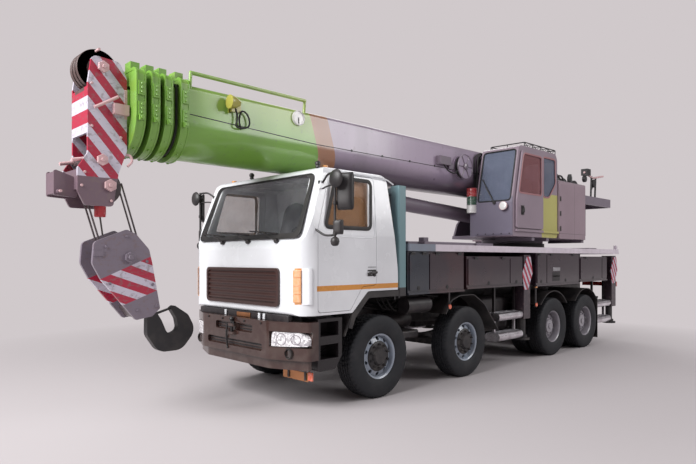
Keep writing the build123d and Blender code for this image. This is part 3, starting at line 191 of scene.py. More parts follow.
def piece(name, shape, material, body, smooth=40.0, bevel=0.0):
    """One object at the origin from (points, faces), riding on a CAD body. Faces meeting under smooth
    degrees shade
    as one, and bevel rounds the sharper edges."""
    points, faces = shape
    mesh = bpy.data.meshes.new(name)
    mesh.from_pydata(np.asarray(points, float).tolist(), [], [list(map(int, f)) for f in faces])
    work = bmesh.new()
    work.from_mesh(mesh)
    bmesh.ops.remove_doubles(work, verts=work.verts, dist=1e-6)
    bmesh.ops.dissolve_degenerate(work, edges=work.edges, dist=1e-6)
    bmesh.ops.recalc_face_normals(work, faces=work.faces)
    work.to_mesh(mesh)
    work.free()
    obj = bpy.data.objects.new(name, mesh)
    bpy.context.scene.collection.objects.link(obj)
    mesh.materials.append(material)
    if bevel:
        edge = obj.modifiers.new("edge", "BEVEL")
        edge.width, edge.segments, edge.limit_method, edge.angle_limit = bevel, 2, "ANGLE", math.radians(35)
    mesh.shade_smooth()
    mesh.set_sharp_from_angle(angle=math.radians(smooth))
    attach(obj, body)
    return obj


# ---------------------------------------------------------------- finishes
def colour(red, green, blue):
    """A screen colour from 0 to 255 as the linear value that a shader reads."""
    value = np.array([red, green, blue]) / 255
    linear = np.where(value <= 0.04045, value / 12.92, ((value + 0.055) / 1.055) ** 2.4)
    return (*linear.tolist(), 1.0)


class Finish:
    """A material whose nodes are added one by one; a number or colour goes straight on the socket."""

    def __init__(self, name, roughness=0.5, metallic=0.0, coat=0.0):
        self.material = bpy.data.materials.new(name)
        self.material.use_nodes = True
        self.tree = self.material.node_tree
        self.shader = self.tree.nodes["Principled BSDF"]
        self.shader.inputs["Metallic"].default_value = metallic
        self.shader.inputs["Roughness"].default_value = roughness
        self.shader.inputs["Coat Weight"].default_value = coat
        self.shader.inputs["Coat Roughness"].default_value = 0.12
        self.place = self.node("ShaderNodeTexCoord").outputs["Object"]
        split = self.node("ShaderNodeSeparateXYZ", Vector=self.place)
        self.x, self.y, self.z = split.outputs["X"], split.outputs["Y"], split.outputs["Z"]

    def node(self, kind, **inputs):
        made = self.tree.nodes.new(kind)
        for key, value in inputs.items():
            self.put(made.inputs[key], value)
        return made

    def put(self, socket, value):
        """Links a node's output, or sets a number, a vector or a screen colour of three."""
        if isinstance(value, bpy.types.NodeSocket):
            self.tree.links.new(value, socket)
        elif socket.type == "RGBA":
            socket.default_value = colour(*value)
        else:
            socket.default_value = value

    def math(self, operation, a, b=0.0, c=0.0):
        made = self.tree.nodes.new("ShaderNodeMath")
        made.operation = operation
        for socket, value in zip(made.inputs, (a, b, c)):
            self.put(socket, value)
        return made.outputs[0]

    def times(self, a, b):
        return self.math("MULTIPLY", a, b)

    def plus(self, a, b):
        return self.math("ADD", a, b)

    def minus(self, a, b):
        return self.math("SUBTRACT", a, b)

    def uneven(self, span, low, scale=4.0):
        """A roughness that wanders over the surface from low to low + span."""
        return self.plus(self.times(self.noise(scale, 6.0), span), low)

    def noise(self, scale, detail=4.0, stretch=(1, 1, 1)):
        """Noise from 0 to 1 on the crane's own coordinates, drawn out along an axis by a small stretch."""
        moved = self.node("ShaderNodeMapping", Vector=self.place, Scale=stretch)
        return self.node("ShaderNodeTexNoise", Vector=moved.outputs[0], Scale=scale,
                         Detail=detail).outputs["Fac"]

    def step(self, value, low, high):
        """0 below low, 1 above high, a straight ramp between."""
        made = self.node("ShaderNodeMapRange", Value=value)
        made.inputs["From Min"].default_value, made.inputs["From Max"].default_value = low, high
        return made.outputs[0]

    def mix(self, factor, a, b):
        made = self.tree.nodes.new("ShaderNodeMix")
        made.data_type = "RGBA"
        self.put(made.inputs["Factor"], factor)
        self.put(made.inputs[6], a)      # inputs 6 and 7 and output 2 are the node's colour sockets
        self.put(made.inputs[7], b)
        return made.outputs[2]

    def done(self, base, rough=None, grain=None, height=0.002):
        """Sets the base colour, the roughness and a bump from grain."""
        self.put(self.shader.inputs["Base Color"], base)
        if rough is not None:
            self.put(self.shader.inputs["Roughness"], rough)
        if grain is not None:
            bump = self.node("ShaderNodeBump", Height=grain, Distance=height, Strength=0.4)
            self.put(self.shader.inputs["Normal"], bump.outputs[0])
        return self.material


def between(f, value, low, high, soft=0.002):
    """1 where value lies from low to high."""
    return f.times(f.step(value, low - soft, low + soft), f.step(value, high + soft, high - soft))


def weather(f, base, dust=0.25, low=0.35, high=1.5, dirt=(118, 108, 100)):
    """Road dust that thins out with height, broken up by noise, and a slight unevenness of tone."""
    tone = f.mix(f.step(f.noise(1.7), 0.35, 0.75), base, f.mix(0.12, base, (60, 55, 55)))
    amount = f.times(f.step(f.z, high, low), f.step(f.noise(9.0, 8.0), 0.42, 0.75))
    return f.mix(f.times(amount, dust), tone, dirt)


def painted(name, rgb, roughness=0.35, coat=0.5, dust=0.25):
    """Sprayed paint: one colour, faint unevenness, road dust low down and a fine peel."""
    f = Finish(name, coat=coat)
    rough = f.uneven(0.18, roughness - 0.09)
    return f.done(weather(f, rgb, dust), rough, f.noise(90.0, 2.0), 0.0006)


def metal(name, rgb, roughness=0.35, brushed=(1, 1, 1)):
    """Bare or plated steel with a brushed grain and dull patches."""
    f = Finish(name, metallic=1.0)
    grain = f.noise(60.0, 6.0, brushed)
    rough = f.plus(f.times(grain, 0.25), roughness - 0.12)
    base = f.mix(f.step(f.noise(6.0), 0.4, 0.75), rgb,
                 f.mix(0.3, rgb, (70, 60, 55)))
    return f.done(base, rough, grain, 0.0008)


def moulded(name, rgb, roughness=0.6):
    """Grained plastic or rubber."""
    f = Finish(name)
    base = f.mix(f.step(f.noise(5.0), 0.35, 0.8), rgb,
                 f.mix(0.15, rgb, (130, 122, 118)))
    return f.done(weather(f, base, 0.3), roughness, f.noise(220.0, 3.0), 0.001)


# colours, named for what carries them
GREEN = (118, 164, 66)
# painted highlight: the paler green of the boom's top
GREEN_PAINTED_HIGHLIGHT = (158, 178, 96)
MAUVE = (166, 150, 170)
BAND = (160, 112, 84)
HEAD_RED = (168, 34, 62)
HEAD_WHITE = (196, 190, 204)
HEAD_BROWN = (112, 92, 102)
WHITE = (232, 234, 238)
ORANGE = (214, 142, 48)
TEAL = (110, 142, 148)
BOX = (48, 34, 44)
GREY = (120, 110, 122)
OLIVE = (182, 177, 104)
BUMPER = (60, 37, 32)
PINK = (206, 170, 172)


def boom_paint():
    """Green in front, grey-mauve behind, with a slanted band between: where they meet depends on x less a
    share of z.
    A painted highlight pales the green upwards above the weld line and the mauve along its top; painted
    shade darkens the mauve below."""
    f = Finish("boom_paint", coat=0.6)
    front = f.minus(f.x, f.times(f.minus(f.z, 3.0), 0.32))
    # painted highlight: the green pales upwards over the boom's top, fading out towards the head
    high = f.times(f.step(f.z, 3.36, 3.80), f.step(f.x, 5.0, 2.6))
    lime = f.mix(high, GREEN, GREEN_PAINTED_HIGHLIGHT)
    # painted shade darkens the mauve low on the underside; a painted highlight pales it along the top
    mauve_painted_shade_and_highlight = f.mix(f.step(f.z, 3.30, 3.05), MAUVE, (82, 70, 82))
    mauve_painted_shade_and_highlight = f.mix(f.step(f.z, 3.70, 3.79), mauve_painted_shade_and_highlight, (140, 126, 142))
    base = f.mix(f.step(front, 2.348, 2.352), f.mix(f.step(front, 2.028, 2.032), mauve_painted_shade_and_highlight, BAND),
                 lime)
    worn = f.times(f.step(f.noise(14.0, 8.0), 0.62, 0.72), 0.25)
    streak = f.times(f.step(f.noise(2.2, 6.0, (1, 1, 0.15)), 0.45, 0.75), 0.22)
    base = f.mix(worn, f.mix(streak, base, (86, 84, 84)), (96, 92, 86))
    rough = f.uneven(0.2, 0.22)
    return f.done(base, rough, f.noise(70.0, 2.0), 0.0008)


def bands(f, run, start, pitch, share=0.5):
    """1 on the stripes of a run that starts at a place and repeats with a pitch."""
    part = f.math("FRACT", f.math("DIVIDE", f.minus(run, start - 50 * pitch), pitch))
    return f.math("LESS_THAN", part, share)


def scuffed(f, base, amount=0.5, tone=(118, 100, 100)):
    """Scratches and bare patches where ropes and weather have worn the paint."""
    patches = f.times(f.step(f.noise(20.0, 8.0), 0.56, 0.66), amount)
    scratches = f.times(f.step(f.noise(55.0, 6.0, (0.25, 1, 1)), 0.60, 0.68), amount)
    return f.mix(f.math("MAXIMUM", patches, scratches), base, tone)


def head_paint():
    """The boom's head: plates with slanting stripes outside and level ones in front, brown-grey below
    them, dark
    sheaves between them, and the green tube behind."""
    f = Finish("head_paint", roughness=0.38, coat=0.35)
    side = f.math("ABSOLUTE", f.y)
    slanted = f.minus(f.z, f.times(f.minus(f.x, 5.438), 1.155))
    flank = f.mix(bands(f, slanted, 2.924, 0.2815), HEAD_WHITE, HEAD_RED)
    front = f.mix(bands(f, f.z, 2.924, 0.2815), HEAD_WHITE, HEAD_RED)
    outer = f.mix(f.step(f.z, 2.655, 2.660), HEAD_BROWN, flank)
    outer = f.mix(f.step(side, 0.2328, 0.2330), outer, PINK)
    edge = f.times(f.step(f.x, 5.4375, 5.4380), f.step(f.z, 2.86, 2.87))
    outer = f.mix(edge, outer, front)
    plate = f.times(f.step(f.x, 5.4, 5.405), f.step(f.z, 3.10, 3.105))
    inner = f.mix(plate, (58, 46, 50), front)
    inner = f.mix(f.times(f.step(f.x, 5.505, 5.507), f.step(f.z, 2.75, 2.74)), inner, HEAD_BROWN)
    sheave = f.times(f.step(side, 0.1325, 0.1320), f.step(f.z, 3.55, 3.56))
    inner = f.mix(sheave, inner, (84, 66, 64))
    base = f.mix(f.step(side, 0.2010, 0.2012), inner, outer)
    base = f.mix(f.step(f.x, 5.030, 5.032), GREEN, base)
    return f.done(scuffed(f, base), None, f.noise(80.0, 2.0), 0.0008)


def block_paint():
    """The hook block's cheeks: grey with red and white stripes between two slanting lines; dark rope and
    sheaves
    between the cheeks."""
    f = Finish("block_paint", roughness=0.4, coat=0.3)
    run = f.minus(f.z, f.times(f.x, 0.36))
    low = f.minus(f.z, f.minus(1.314 + 0.38 * 5.046, f.times(f.x, 0.38)))
    high = f.minus(f.z, f.minus(1.599 + 0.433 * 5.290, f.times(f.x, 0.433)))
    stripes = f.mix(bands(f, run, -0.314, 0.174, 0.52), HEAD_WHITE, HEAD_RED)
    inside = f.times(f.step(low, 0.0, 0.002), f.step(high, 0.002, 0.0))
    cheek = f.mix(inside, GREY, stripes)
    base = f.mix(f.step(f.math("ABSOLUTE", f.y), 0.149, 0.1492), (70, 60, 62), cheek)
    return f.done(scuffed(f, base, 0.55), None, f.noise(80.0, 2.0), 0.0008)


def outrigger_paint():
    """Dark columns and beams, with red and white stripes on the guard plate outside."""
    f = Finish("outrigger_paint", roughness=0.42, coat=0.3)
    run = f.minus(f.z, f.times(f.x, 1.5))
    stripes = f.mix(bands(f, run, 0.0, 0.19), HEAD_WHITE, HEAD_RED)
    plate = f.step(f.math("ABSOLUTE", f.y), 1.2206, 1.2210)
    base = f.mix(plate, BOX, stripes)
    return f.done(scuffed(f, weather(f, base, 0.2), 0.4), None, f.noise(80.0, 2.0), 0.0008)


def cab_paint():
    """White with an orange band that runs round the side at door-sill height, behind the corner lamps."""
    f = Finish("cab_paint", coat=0.8)
    band = f.times(between(f, f.z, 1.428, 1.492, 0.0006), f.step(f.x, 3.222, 3.220))
    band = f.times(band, f.step(f.math("ABSOLUTE", f.y), 1.150, 1.152))
    base = f.mix(band, WHITE, ORANGE)
    rough = f.uneven(0.16, 0.18, 3.0)
    return f.done(weather(f, base, 0.2), rough, f.noise(60.0, 2.0), 0.0004)


def cab_glass(name="cab_glass", tint=(120, 124, 128), clear=0.92, film_tone=(176, 174, 172)):
    """Slightly tinted glass: mostly clear, with a faint film of dust that varies over it."""
    f = Finish(name, roughness=0.03, coat=0.6)
    film = f.times(f.step(f.noise(5.0, 6.0), 0.4, 0.8), 0.10)
    f.put(f.shader.inputs["Base Color"], f.mix(film, tint, film_tone))
    f.put(f.shader.inputs["Alpha"], f.plus(film, 1.0 - clear))
    f.put(f.shader.inputs["Roughness"], f.plus(film, 0.02))
    return f.material


def lens(name, rgb, ribs=160.0):
    """A moulded lens with fine ribs over a bright reflector."""
    f = Finish(name, roughness=0.12, coat=1.0)
    rib = f.math("SINE", f.times(f.z, ribs * 6.28))
    base = f.mix(f.step(f.noise(30.0), 0.35, 0.7), rgb,
                 f.mix(0.12, rgb, (255, 255, 255)))
    return f.done(base, 0.12, rib, 0.001)


def lamp_lenses():
    """The lamps' own colours by place: crystal headlamps with a dark bowl, smoked fog lamps below them,
    amber at the
    corners, roof and sides, red behind."""
    f = Finish("lamp_lenses", roughness=0.08, coat=1.0)
    cells = f.node("ShaderNodeTexVoronoi", Vector=f.place, Scale=42.0).outputs["Color"]
    facet = f.node("ShaderNodeSeparateColor", Color=cells).outputs[0]
    crystal = f.mix(facet, (150, 146, 152), (246, 244, 246))
    side = f.math("ABSOLUTE", f.y)
    for centre, radius in ((0.92, 0.062), (1.10, 0.048)):
        across = f.minus(side, centre)
        up = f.minus(f.z, 0.866)
        away = f.math("SQRT", f.plus(f.times(across, across), f.times(up, up)))
        crystal = f.mix(between(f, away, radius, radius + 0.010, 0.002), crystal, (128, 122, 128))
    front = f.mix(f.step(f.z, 0.765, 0.760), crystal, (46, 34, 32))
    amber = f.mix(facet, (206, 128, 62), (236, 176, 116))
    amber = f.mix(f.times(f.step(side, 1.165, 1.167), f.step(f.x, 3.1, 3.11)), amber, WHITE)
    base = f.mix(f.step(f.z, 1.20, 1.21), front, amber)
    red = f.mix(facet, (150, 20, 20), (205, 50, 44))
    base = f.mix(f.step(f.x, -5.70, -5.71), base, red)
    bump = f.node("ShaderNodeTexVoronoi", Vector=f.place, Scale=42.0).outputs["Distance"]
    return f.done(base, None, bump, 0.004)


def operator_paint():
    """The crane cab: mauve-grey, darker on the front panel, with an olive panel behind the door."""
    f = Finish("operator_paint", coat=0.5)
    rear = f.times(f.step(f.x, -2.285, -2.290), f.step(f.z, 3.02, 3.015))
    rear = f.times(rear, f.step(f.y, 1.19, 1.195))
    base = f.mix(rear, (144, 128, 140), OLIVE)
    base = f.mix(f.step(f.x, -1.262, -1.257), base, (116, 110, 126))
    rough = f.uneven(0.2, 0.28)
    return f.done(weather(f, base, 0.2), rough, f.noise(80.0, 2.0), 0.0006)


def housing_paint():
    """The machine housing: mauve-grey panels, black hinges proud of the outside, dark seams between the
    panels."""
    f = Finish("housing_paint", coat=0.45)
    hinge = f.step(f.y, 1.2385, 1.2390)
    seam = f.math("MAXIMUM", between(f, f.x, -3.562, -3.556, 0.001), between(f, f.z, 2.296, 2.301, 0.001))
    base = f.mix(seam, (150, 130, 140), (70, 62, 68))
    base = f.mix(hinge, weather(f, base, 0.2), (26, 24, 27))
    return f.done(base, 0.36, f.noise(80.0, 2.0), 0.0006)


def deck_finish():
    """Pale deck with a chequered tread on top: raised lozenges where two slanting waves both peak."""
    f = Finish("deck_finish", coat=0.2)
    a = f.math("SINE", f.times(f.plus(f.x, f.y), 130.0))
    b = f.math("SINE", f.times(f.minus(f.x, f.y), 65.0))
    tread = f.step(f.times(a, b), 0.35, 0.6)
    base = f.mix(f.step(f.x, 0.95, 0.97), (216, 206, 216), (128, 136, 150))
    base = weather(f, base, 0.3, 1.8, 2.2)
    return f.done(base, 0.42, tread, 0.002)


def locker_paint():
    """Dark brown-mauve doors, bluer at the front door, with a painted sheen of reddish reflected light in
    broad patches towards the front, and dust along their lower edge.
    """
    f = Finish("locker_paint", coat=0.6)
    base = f.mix(f.step(f.x, 1.075, 1.080), BOX, (34, 40, 52))
    # painted sheen: broad reddish patches of reflected light, stronger towards the front
    painted_sheen = f.times(f.step(f.noise(1.3, 3.0), 0.40, 0.75), f.step(f.x, -1.0, 1.0))
    base = f.mix(f.times(painted_sheen, 0.75), base, (104, 54, 46))
    rough = f.uneven(0.2, 0.2)
    return f.done(weather(f, base, 0.12, 1.2, 1.7), rough, f.noise(70.0, 2.0), 0.0006)


def headboard_paint():
    """Grey-teal columns, dark below the cab's floor."""
    f = Finish("headboard_paint", roughness=0.4, coat=0.4)
    base = f.mix(f.step(f.z, 1.42, 1.43), (34, 30, 33), TEAL)
    base = f.mix(f.times(f.step(f.z, 1.42, 1.43), f.step(f.math("ABSOLUTE", f.y), 1.23, 1.0)), base,
                 (60, 58, 64))
    return f.done(weather(f, base, 0.2), None, f.noise(80.0, 2.0), 0.0006)


def step_metal():
    """Bright rolled treads; the cab's entry steps in black plastic; dark hangers."""
    f = Finish("step_metal")
    entry = f.step(f.x, 2.0, 2.1)
    hanger = f.times(f.step(f.math("ABSOLUTE", f.y), 1.09, 1.085), f.step(f.z, 0.915, 0.92))
    dark = f.math("MAXIMUM", entry, hanger)
    grain = f.noise(60.0, 6.0, (0.1, 1, 1))
    base = f.mix(f.step(f.noise(6.0), 0.4, 0.8), (236, 234, 238), (184, 176, 182))
    f.put(f.shader.inputs["Metallic"], f.minus(1.0, dark))
    base = f.mix(dark, base, (34, 30, 32))
    return f.done(base, f.plus(f.times(grain, 0.2), 0.2), grain, 0.0008)


def tyre_rubber():
    """Near-black rubber, faintly dusty in patches."""
    f = Finish("tyre_rubber", roughness=0.75)
    dust = f.times(f.step(f.noise(7.0, 8.0), 0.45, 0.8), 0.16)
    return f.done(f.mix(dust, (19, 21, 27), (80, 74, 74)), 0.7, f.noise(150.0, 3.0), 0.001)


def cloth(name, rgb):
    """Woven seat cloth: two crossed fine waves for the weave, with a worn sheen."""
    f = Finish(name, roughness=0.9)
    f.shader.inputs["Sheen Weight"].default_value = 0.4
    warp = f.math("SINE", f.times(f.y, 1900.0))
    weft = f.math("SINE", f.times(f.plus(f.x, f.z), 1900.0))
    weave = f.times(warp, weft)
    base = f.mix(f.step(f.noise(8.0, 6.0), 0.35, 0.75), rgb,
                 f.mix(0.25, rgb, (150, 140, 140)))
    return f.done(base, 0.9, weave, 0.0008)


boom = boom_paint()
green = painted("green_paint", GREEN, 0.3, 0.6)
white = cab_paint()
plain_white = painted("white_paint", WHITE, 0.3, 0.6)
bumper_paint = painted("bumper_paint", BUMPER, 0.32, 0.5, 0.3)
grille_paint = painted("grille_paint", (58, 34, 30), 0.4, 0.2)
frame_paint = painted("frame_paint", (34, 29, 33), 0.5, 0.2, 0.4)
grey_paint = painted("grey_paint", GREY, 0.42, 0.3)
mauve = painted("mauve_paint", (112, 100, 112), 0.35, 0.5)
pink = painted("pink_paint", PINK, 0.4, 0.3)
red_paint = painted("red_paint", (176, 20, 34), 0.3, 0.5)
lime = painted("lime_paint", (168, 162, 72), 0.35, 0.4, 0.4)
steel = metal("bright_steel", (190, 190, 194), 0.32)
chrome = metal("chrome_rod", (215, 215, 220), 0.16, (1, 1, 0.05))
copper = metal("copper_plate", (206, 146, 104), 0.4)
cast = painted("black_cast", (30, 28, 31), 0.5, 0.1)
plastic = moulded("black_plastic", (27, 25, 28), 0.45)
seal = moulded("rubber_seal", (16, 16, 18), 0.6)
rubber = tyre_rubber()
rim_paint = painted("rim_paint", (150, 160, 174), 0.35, 0.5, 0.3)
hub_paint = painted("hub_paint", (150, 146, 154), 0.35, 0.4, 0.3)
sheave_dark = painted("sheave_paint", (80, 62, 60), 0.4, 0.2)
window_red = painted("window_frame_paint", (158, 108, 112), 0.4, 0.3)
head = head_paint()
glass = cab_glass()
door_glass = cab_glass("door_pane", (206, 156, 112), 0.70, (236, 196, 156))
sky_glass = cab_glass("operator_pane", (112, 120, 140), 0.45, (168, 174, 190))
red_lens = lens("red_lens", (168, 10, 18))
green_lens = lens("green_lens", (6, 70, 44))
pale_lens = lens("pale_lens", (222, 220, 218))
orange_lens = lens("orange_lens", (214, 84, 34))
amber_lens = lens("amber_lens", (222, 152, 92))
seat_cloth = cloth("seat_cloth", (64, 62, 68))
rope = metal("wire_rope", (96, 92, 90), 0.55)

node_finish = {
    "chassis_frame": frame_paint, "subframe": frame_paint, "driveline": frame_paint, "axles": frame_paint,
    "tanks": frame_paint, "deck": deck_finish(), "side_lockers": locker_paint(), "steps": step_metal(),
    "mudguards": plastic, "headboard": headboard_paint(), "cab_body": white, "cab_glass": glass,
    "cab_interior": plastic, "grille": grille_paint, "bumper": bumper_paint, "lamps": lamp_lenses(),
    "mirrors": plastic, "slew_platform": grey_paint, "counterweight": grey_paint,
    "machine_housing": housing_paint(), "winches": frame_paint, "operator_cab": operator_paint(),
    "operator_glass": sky_glass, "operator_seat": plastic, "operator_door": operator_paint(),
    "operator_door_glass": cab_glass("operator_door_pane", (150, 96, 100), 0.5, (190, 150, 150)),
               "boom_base": boom,
    "boom_section_5": head, "luff_barrel": mauve, "luff_rod": chrome, "hook_block": block_paint(),
               "hook": cast,
}
outrigger = outrigger_paint()
for side, _ in SIDES:
    node_finish["cab_door_" + side] = white
    node_finish["cab_door_glass_" + side] = door_glass
    for number in STEERED:
        node_finish["knuckle_" + number + "_" + side] = frame_paint
    for number in AXLES:
        node_finish["wheel_" + number + "_" + side] = rubber
    for end in ("front", "rear"):
        node_finish["outrigger_" + end + "_" + side] = outrigger
        node_finish["jack_" + end + "_" + side] = cast
for number in "234":
    node_finish["boom_section_" + number] = green
for name, finish in node_finish.items():
    nodes[name].data.materials.clear()
    nodes[name].data.materials.append(finish)
    nodes[name].data.set_sharp_from_angle(angle=math.radians(35))


# ---------------------------------------------------------------- wheels
TREAD_BLOCKS = 52


def tyre(y):
    """One road tyre on the left with its middle plane at y: a section turned about the axle, its sidewall
    two arcs. Four
    grooves run round the tread, and between them the radius drops where the fraction of (turns times
    blocks, slanted
    by the place across) is small, which leaves blocks."""
    bead = np.array([(-0.118, 0.286), (-0.135, 0.300), (-0.148, 0.335), (-0.156, 0.385), (-0.1575, 0.425),
                     (-0.155, 0.465), (-0.148, 0.500), (-0.138, 0.522), (-0.126, 0.534)])
    across = np.array([-0.112, -0.0745, -0.074, -0.062, -0.0615, -0.027, -0.0265, -0.0145, -0.014, 0.0])
    radius = np.array([0.5385, 0.5395, 0.527, 0.527, 0.5395, 0.540, 0.527, 0.527, 0.540, 0.540])
    half = np.vstack([bead, np.column_stack([across, radius])])
    profile = np.vstack([half, half[::-1][1:] * (-1, 1)])
    w, r = profile[:, 0], profile[:, 1]
    turn = np.linspace(0, 1, TREAD_BLOCKS * 6, endpoint=False)
    part = np.mod(turn[:, None] * TREAD_BLOCKS + 6.0 * np.abs(w)[None, :], 1.0)
    tread = (r[None, :] > 0.533)
    depth = np.where(part < 0.2, 0.011, 0.0) * tread
    angle = 2 * np.pi * turn[:, None]
    rows = along("y", w[None, :] + y, (r - depth) * np.cos(angle), (r - depth) * np.sin(angle))
    return grid(rows[:, ::-1], close_u=True)


def pierced(y, inner, outer, depth, holes, pitch, radius):
    """A wheel disc with round holes: each hole's sector is a patch that runs from the hole's rim to the
    sector's edge,
    and y falls by depth from the inner radius to the outer."""
    steps = 24
    turn = np.linspace(0, 2 * np.pi, steps, endpoint=False)
    half = np.pi / holes
    rim_a, rim_r = radius * np.sin(turn) / pitch, pitch + radius * np.cos(turn)
    side = np.maximum(np.abs(np.cos(turn)), np.abs(np.sin(turn)))
    edge_a = half * np.sin(turn) / side
    edge_r = (inner + outer) / 2 + (outer - inner) / 2 * np.cos(turn) / side
    mix = np.array([0.0, 0.0, 0.35, 1.0])[:, None]
    a = rim_a + (edge_a - rim_a) * mix
    r = rim_r + (edge_r - rim_r) * mix
    sink = np.array([0.02, 0.0, 0.0, 0.0])[:, None]
    drop = depth * np.clip((r - inner) / (outer - inner), 0, 1) + sink
    a = a[None] + (2 * half * np.arange(holes))[:, None, None]
    rows = along("y", y - np.broadcast_to(drop, a.shape), r * np.cos(a), r * np.sin(a))
    return merged(*[grid(one, close_v=True) for one in rows])


def wheel_nuts(y, pitch, count=10):
    """Studs with their nuts and caps round a hub."""
    angle = np.linspace(0, 2 * np.pi, count, endpoint=False)
    centres = along("y", np.full(count, y), pitch * np.cos(angle), pitch * np.sin(angle))
    return merged(studs("y", centres, 0.017, 0.024), studs("y", centres + (0, 0.02, 0), 0.010, 0.022, 10))


def front_wheel():
    """Tyre, bright rim and dark bulging nave of a single wheel on the left, about its own axle line."""
    y = TYRE_OUT - TYRE_W / 2
    flange = turned("y", (0, y, 0),
                    [(0.02, 0.262), (0.06, 0.270), (0.098, 0.274), (0.112, 0.281), (0.117, 0.290),
                                     (0.124, 0.297), (0.129, 0.294), (0.126, 0.284), (0.117, 0.272),
                     (0.085, 0.264),
                                     (0.066, 0.262)][::-1], 72)
    back = turned("y", (0, y, 0), [(-0.118, 0.292), (-0.122, 0.284), (-0.116, 0.276), (0.02, 0.262)][::-1],
                  48)
    band = pierced(y + 0.098, 0.198, 0.2625, 0.034, 10, 0.2300, 0.0275)
    behind = turned("y", (0, y, 0), [(0.02, 0.262), (0.02, 0.11), (-0.03, 0.11), (-0.03, 0.045)][::-1], 32)
    nave = turned("y", (0, y, 0), [(0.098, 0.199), (0.106, 0.192), (0.112, 0.182), (0.112, 0.125),
                                   (0.120, 0.118), (0.136, 0.112), (0.150, 0.098), (0.150, 0.030),
                                   (0.153, 0.0)], 48)
    return {"tyre": tyre(y), "rim": merged(flange, back, band),
            "hub": merged(nave, behind, wheel_nuts(y + 0.112, 0.158))}


def rear_wheel():
    """Both tyres, the rims and the deep hub of a twin wheel on the left, about its own axle line."""
    outer = TYRE_OUT - TYRE_W / 2
    inner = outer - TWIN_PITCH
    middle = (inner + outer) / 2
    rim = turned("y", (0, 0, 0), [(outer + 0.128, 0.292), (outer + 0.124, 0.284), (outer + 0.114, 0.275),
                                  (outer + 0.05, 0.266), (outer - 0.06, 0.262), (middle + 0.024, 0.258)],
                 72)
    inside = turned("y", (0, 0, 0), [(inner - 0.118, 0.292), (inner - 0.122, 0.284), (inner - 0.110, 0.275),
                                     (middle - 0.024, 0.262), (middle - 0.024, 0.13), (middle - 0.16, 0.13),
                                     (middle - 0.16, 0.062)][::-1], 48)
    lip = turned("y", (0, 0, 0), [(outer + 0.128, 0.292), (outer + 0.122, 0.298), (outer + 0.114, 0.292),
                                  (outer + 0.10, 0.286)][::-1], 72)
    disc_face = pierced(middle + 0.030, 0.150, 0.259, 0.006, 8, 0.210, 0.030)
    hub = turned("y", (0, 0, 0), [(middle + 0.030, 0.151), (middle + 0.06, 0.148), (middle + 0.10, 0.132),
                                  (outer + 0.05, 0.128), (outer + 0.062, 0.122), (outer + 0.066, 0.06),
                                  (outer + 0.082, 0.05), (outer + 0.084, 0.0)], 48)
    cover = turned("y", (0, 0, 0), [(outer - 0.02, 0.232), (outer + 0.012, 0.228), (outer + 0.022, 0.214),
                                    (outer + 0.026, 0.17), (outer + 0.030, 0.126)], 64)
    return {"tyre": merged(tyre(outer), tyre(inner)), "rim": merged(rim, inside, lip, disc_face),
            "hub": merged(hub, cover, wheel_nuts(outer + 0.026, 0.168, 10))}


for number, x in AXLES.items():
    parts = front_wheel() if number in STEERED else rear_wheel()
    finishes = {"tyre": rubber, "rim": rim_paint if number in STEERED else hub_paint, "hub": hub_paint}
    if number in STEERED:
        finishes["hub"] = cast
    for side, sign in SIDES:
        node = "wheel_" + number + "_" + side
        for part, shape in parts.items():
            placed = (shape[0] + (x, 0, TYRE_R), shape[1])
            obj = piece(node + "_" + part, placed if sign > 0 else flipped(placed), finishes[part], node,
                        32)
            if part == "tyre":
                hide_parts(node)


# ---------------------------------------------------------------- driver's cab
SCREEN_FOOT = np.array([3.3850, 2.0700])       # x, z on the windscreen's face at its lower and upper edge
SCREEN_TOP = np.array([3.0860, 2.8500])
SCREEN_OUT = np.array([0.934, 0.0, 0.358])     # straight out of the windscreen
DOOR_WINDOW = np.array([(3.086, 2.19), (2.925, 2.79), (2.316, 2.79), (2.316, 2.19)])


def mirror_sides(shape):
    """The shape for the left side and its like for the right."""
    return {"left": shape, "right": flipped(shape)}


def on_screen(across, up):
    """Places on the windscreen's outer face: across in metres along y, up from 0 at its foot to 1 at its
    top."""
    across, up = np.broadcast_arrays(np.asarray(across, float), np.asarray(up, float))
    xz = SCREEN_FOOT + up[..., None] * (SCREEN_TOP - SCREEN_FOOT)
    return np.stack([xz[..., 0], across, xz[..., 1]], -1)


def ring_path(corners, radius, steps=6):
    """A closed path through the corners, each turned as a curve."""
    corners = np.asarray(corners, float)
    path = rounded(np.vstack([corners[-1:], corners, corners[:1]]), radius, steps)
    return path[1:-1]


def screen_border():
    """Black border round the windscreen: a flat ring just proud of the face, wider at the sides than along
    the top."""
    inner = ring_path([on_screen(y, u) for y,
                       u in ((-1.05, 0.06), (1.05, 0.06), (1.01, 0.965), (-1.01, 0.965))], 0.12)
    outer = ring_path([on_screen(y, u) for y, u in ((-1.125, -0.005), (1.125, -0.005), (1.065, 0.985),
                                                    (-1.065, 0.985))], 0.10)
    rows = np.stack([inner, inner + SCREEN_OUT * 0.003, outer + SCREEN_OUT * 0.003,
                     outer - SCREEN_OUT * 0.004], 1)
    return grid(rows[:, ::-1], close_u=True, close_v=True)


def screen_seal():
    """The windscreen's rubber: a round section carried round the border's outer edge."""
    outer = ring_path([on_screen(y, u) for y,
                       u in ((-1.13, -0.01), (1.13, -0.01), (1.07, 0.99), (-1.07, 0.99))], 0.10)
    return tube(outer + SCREEN_OUT * 0.003, 0.008, 8, closed=True)


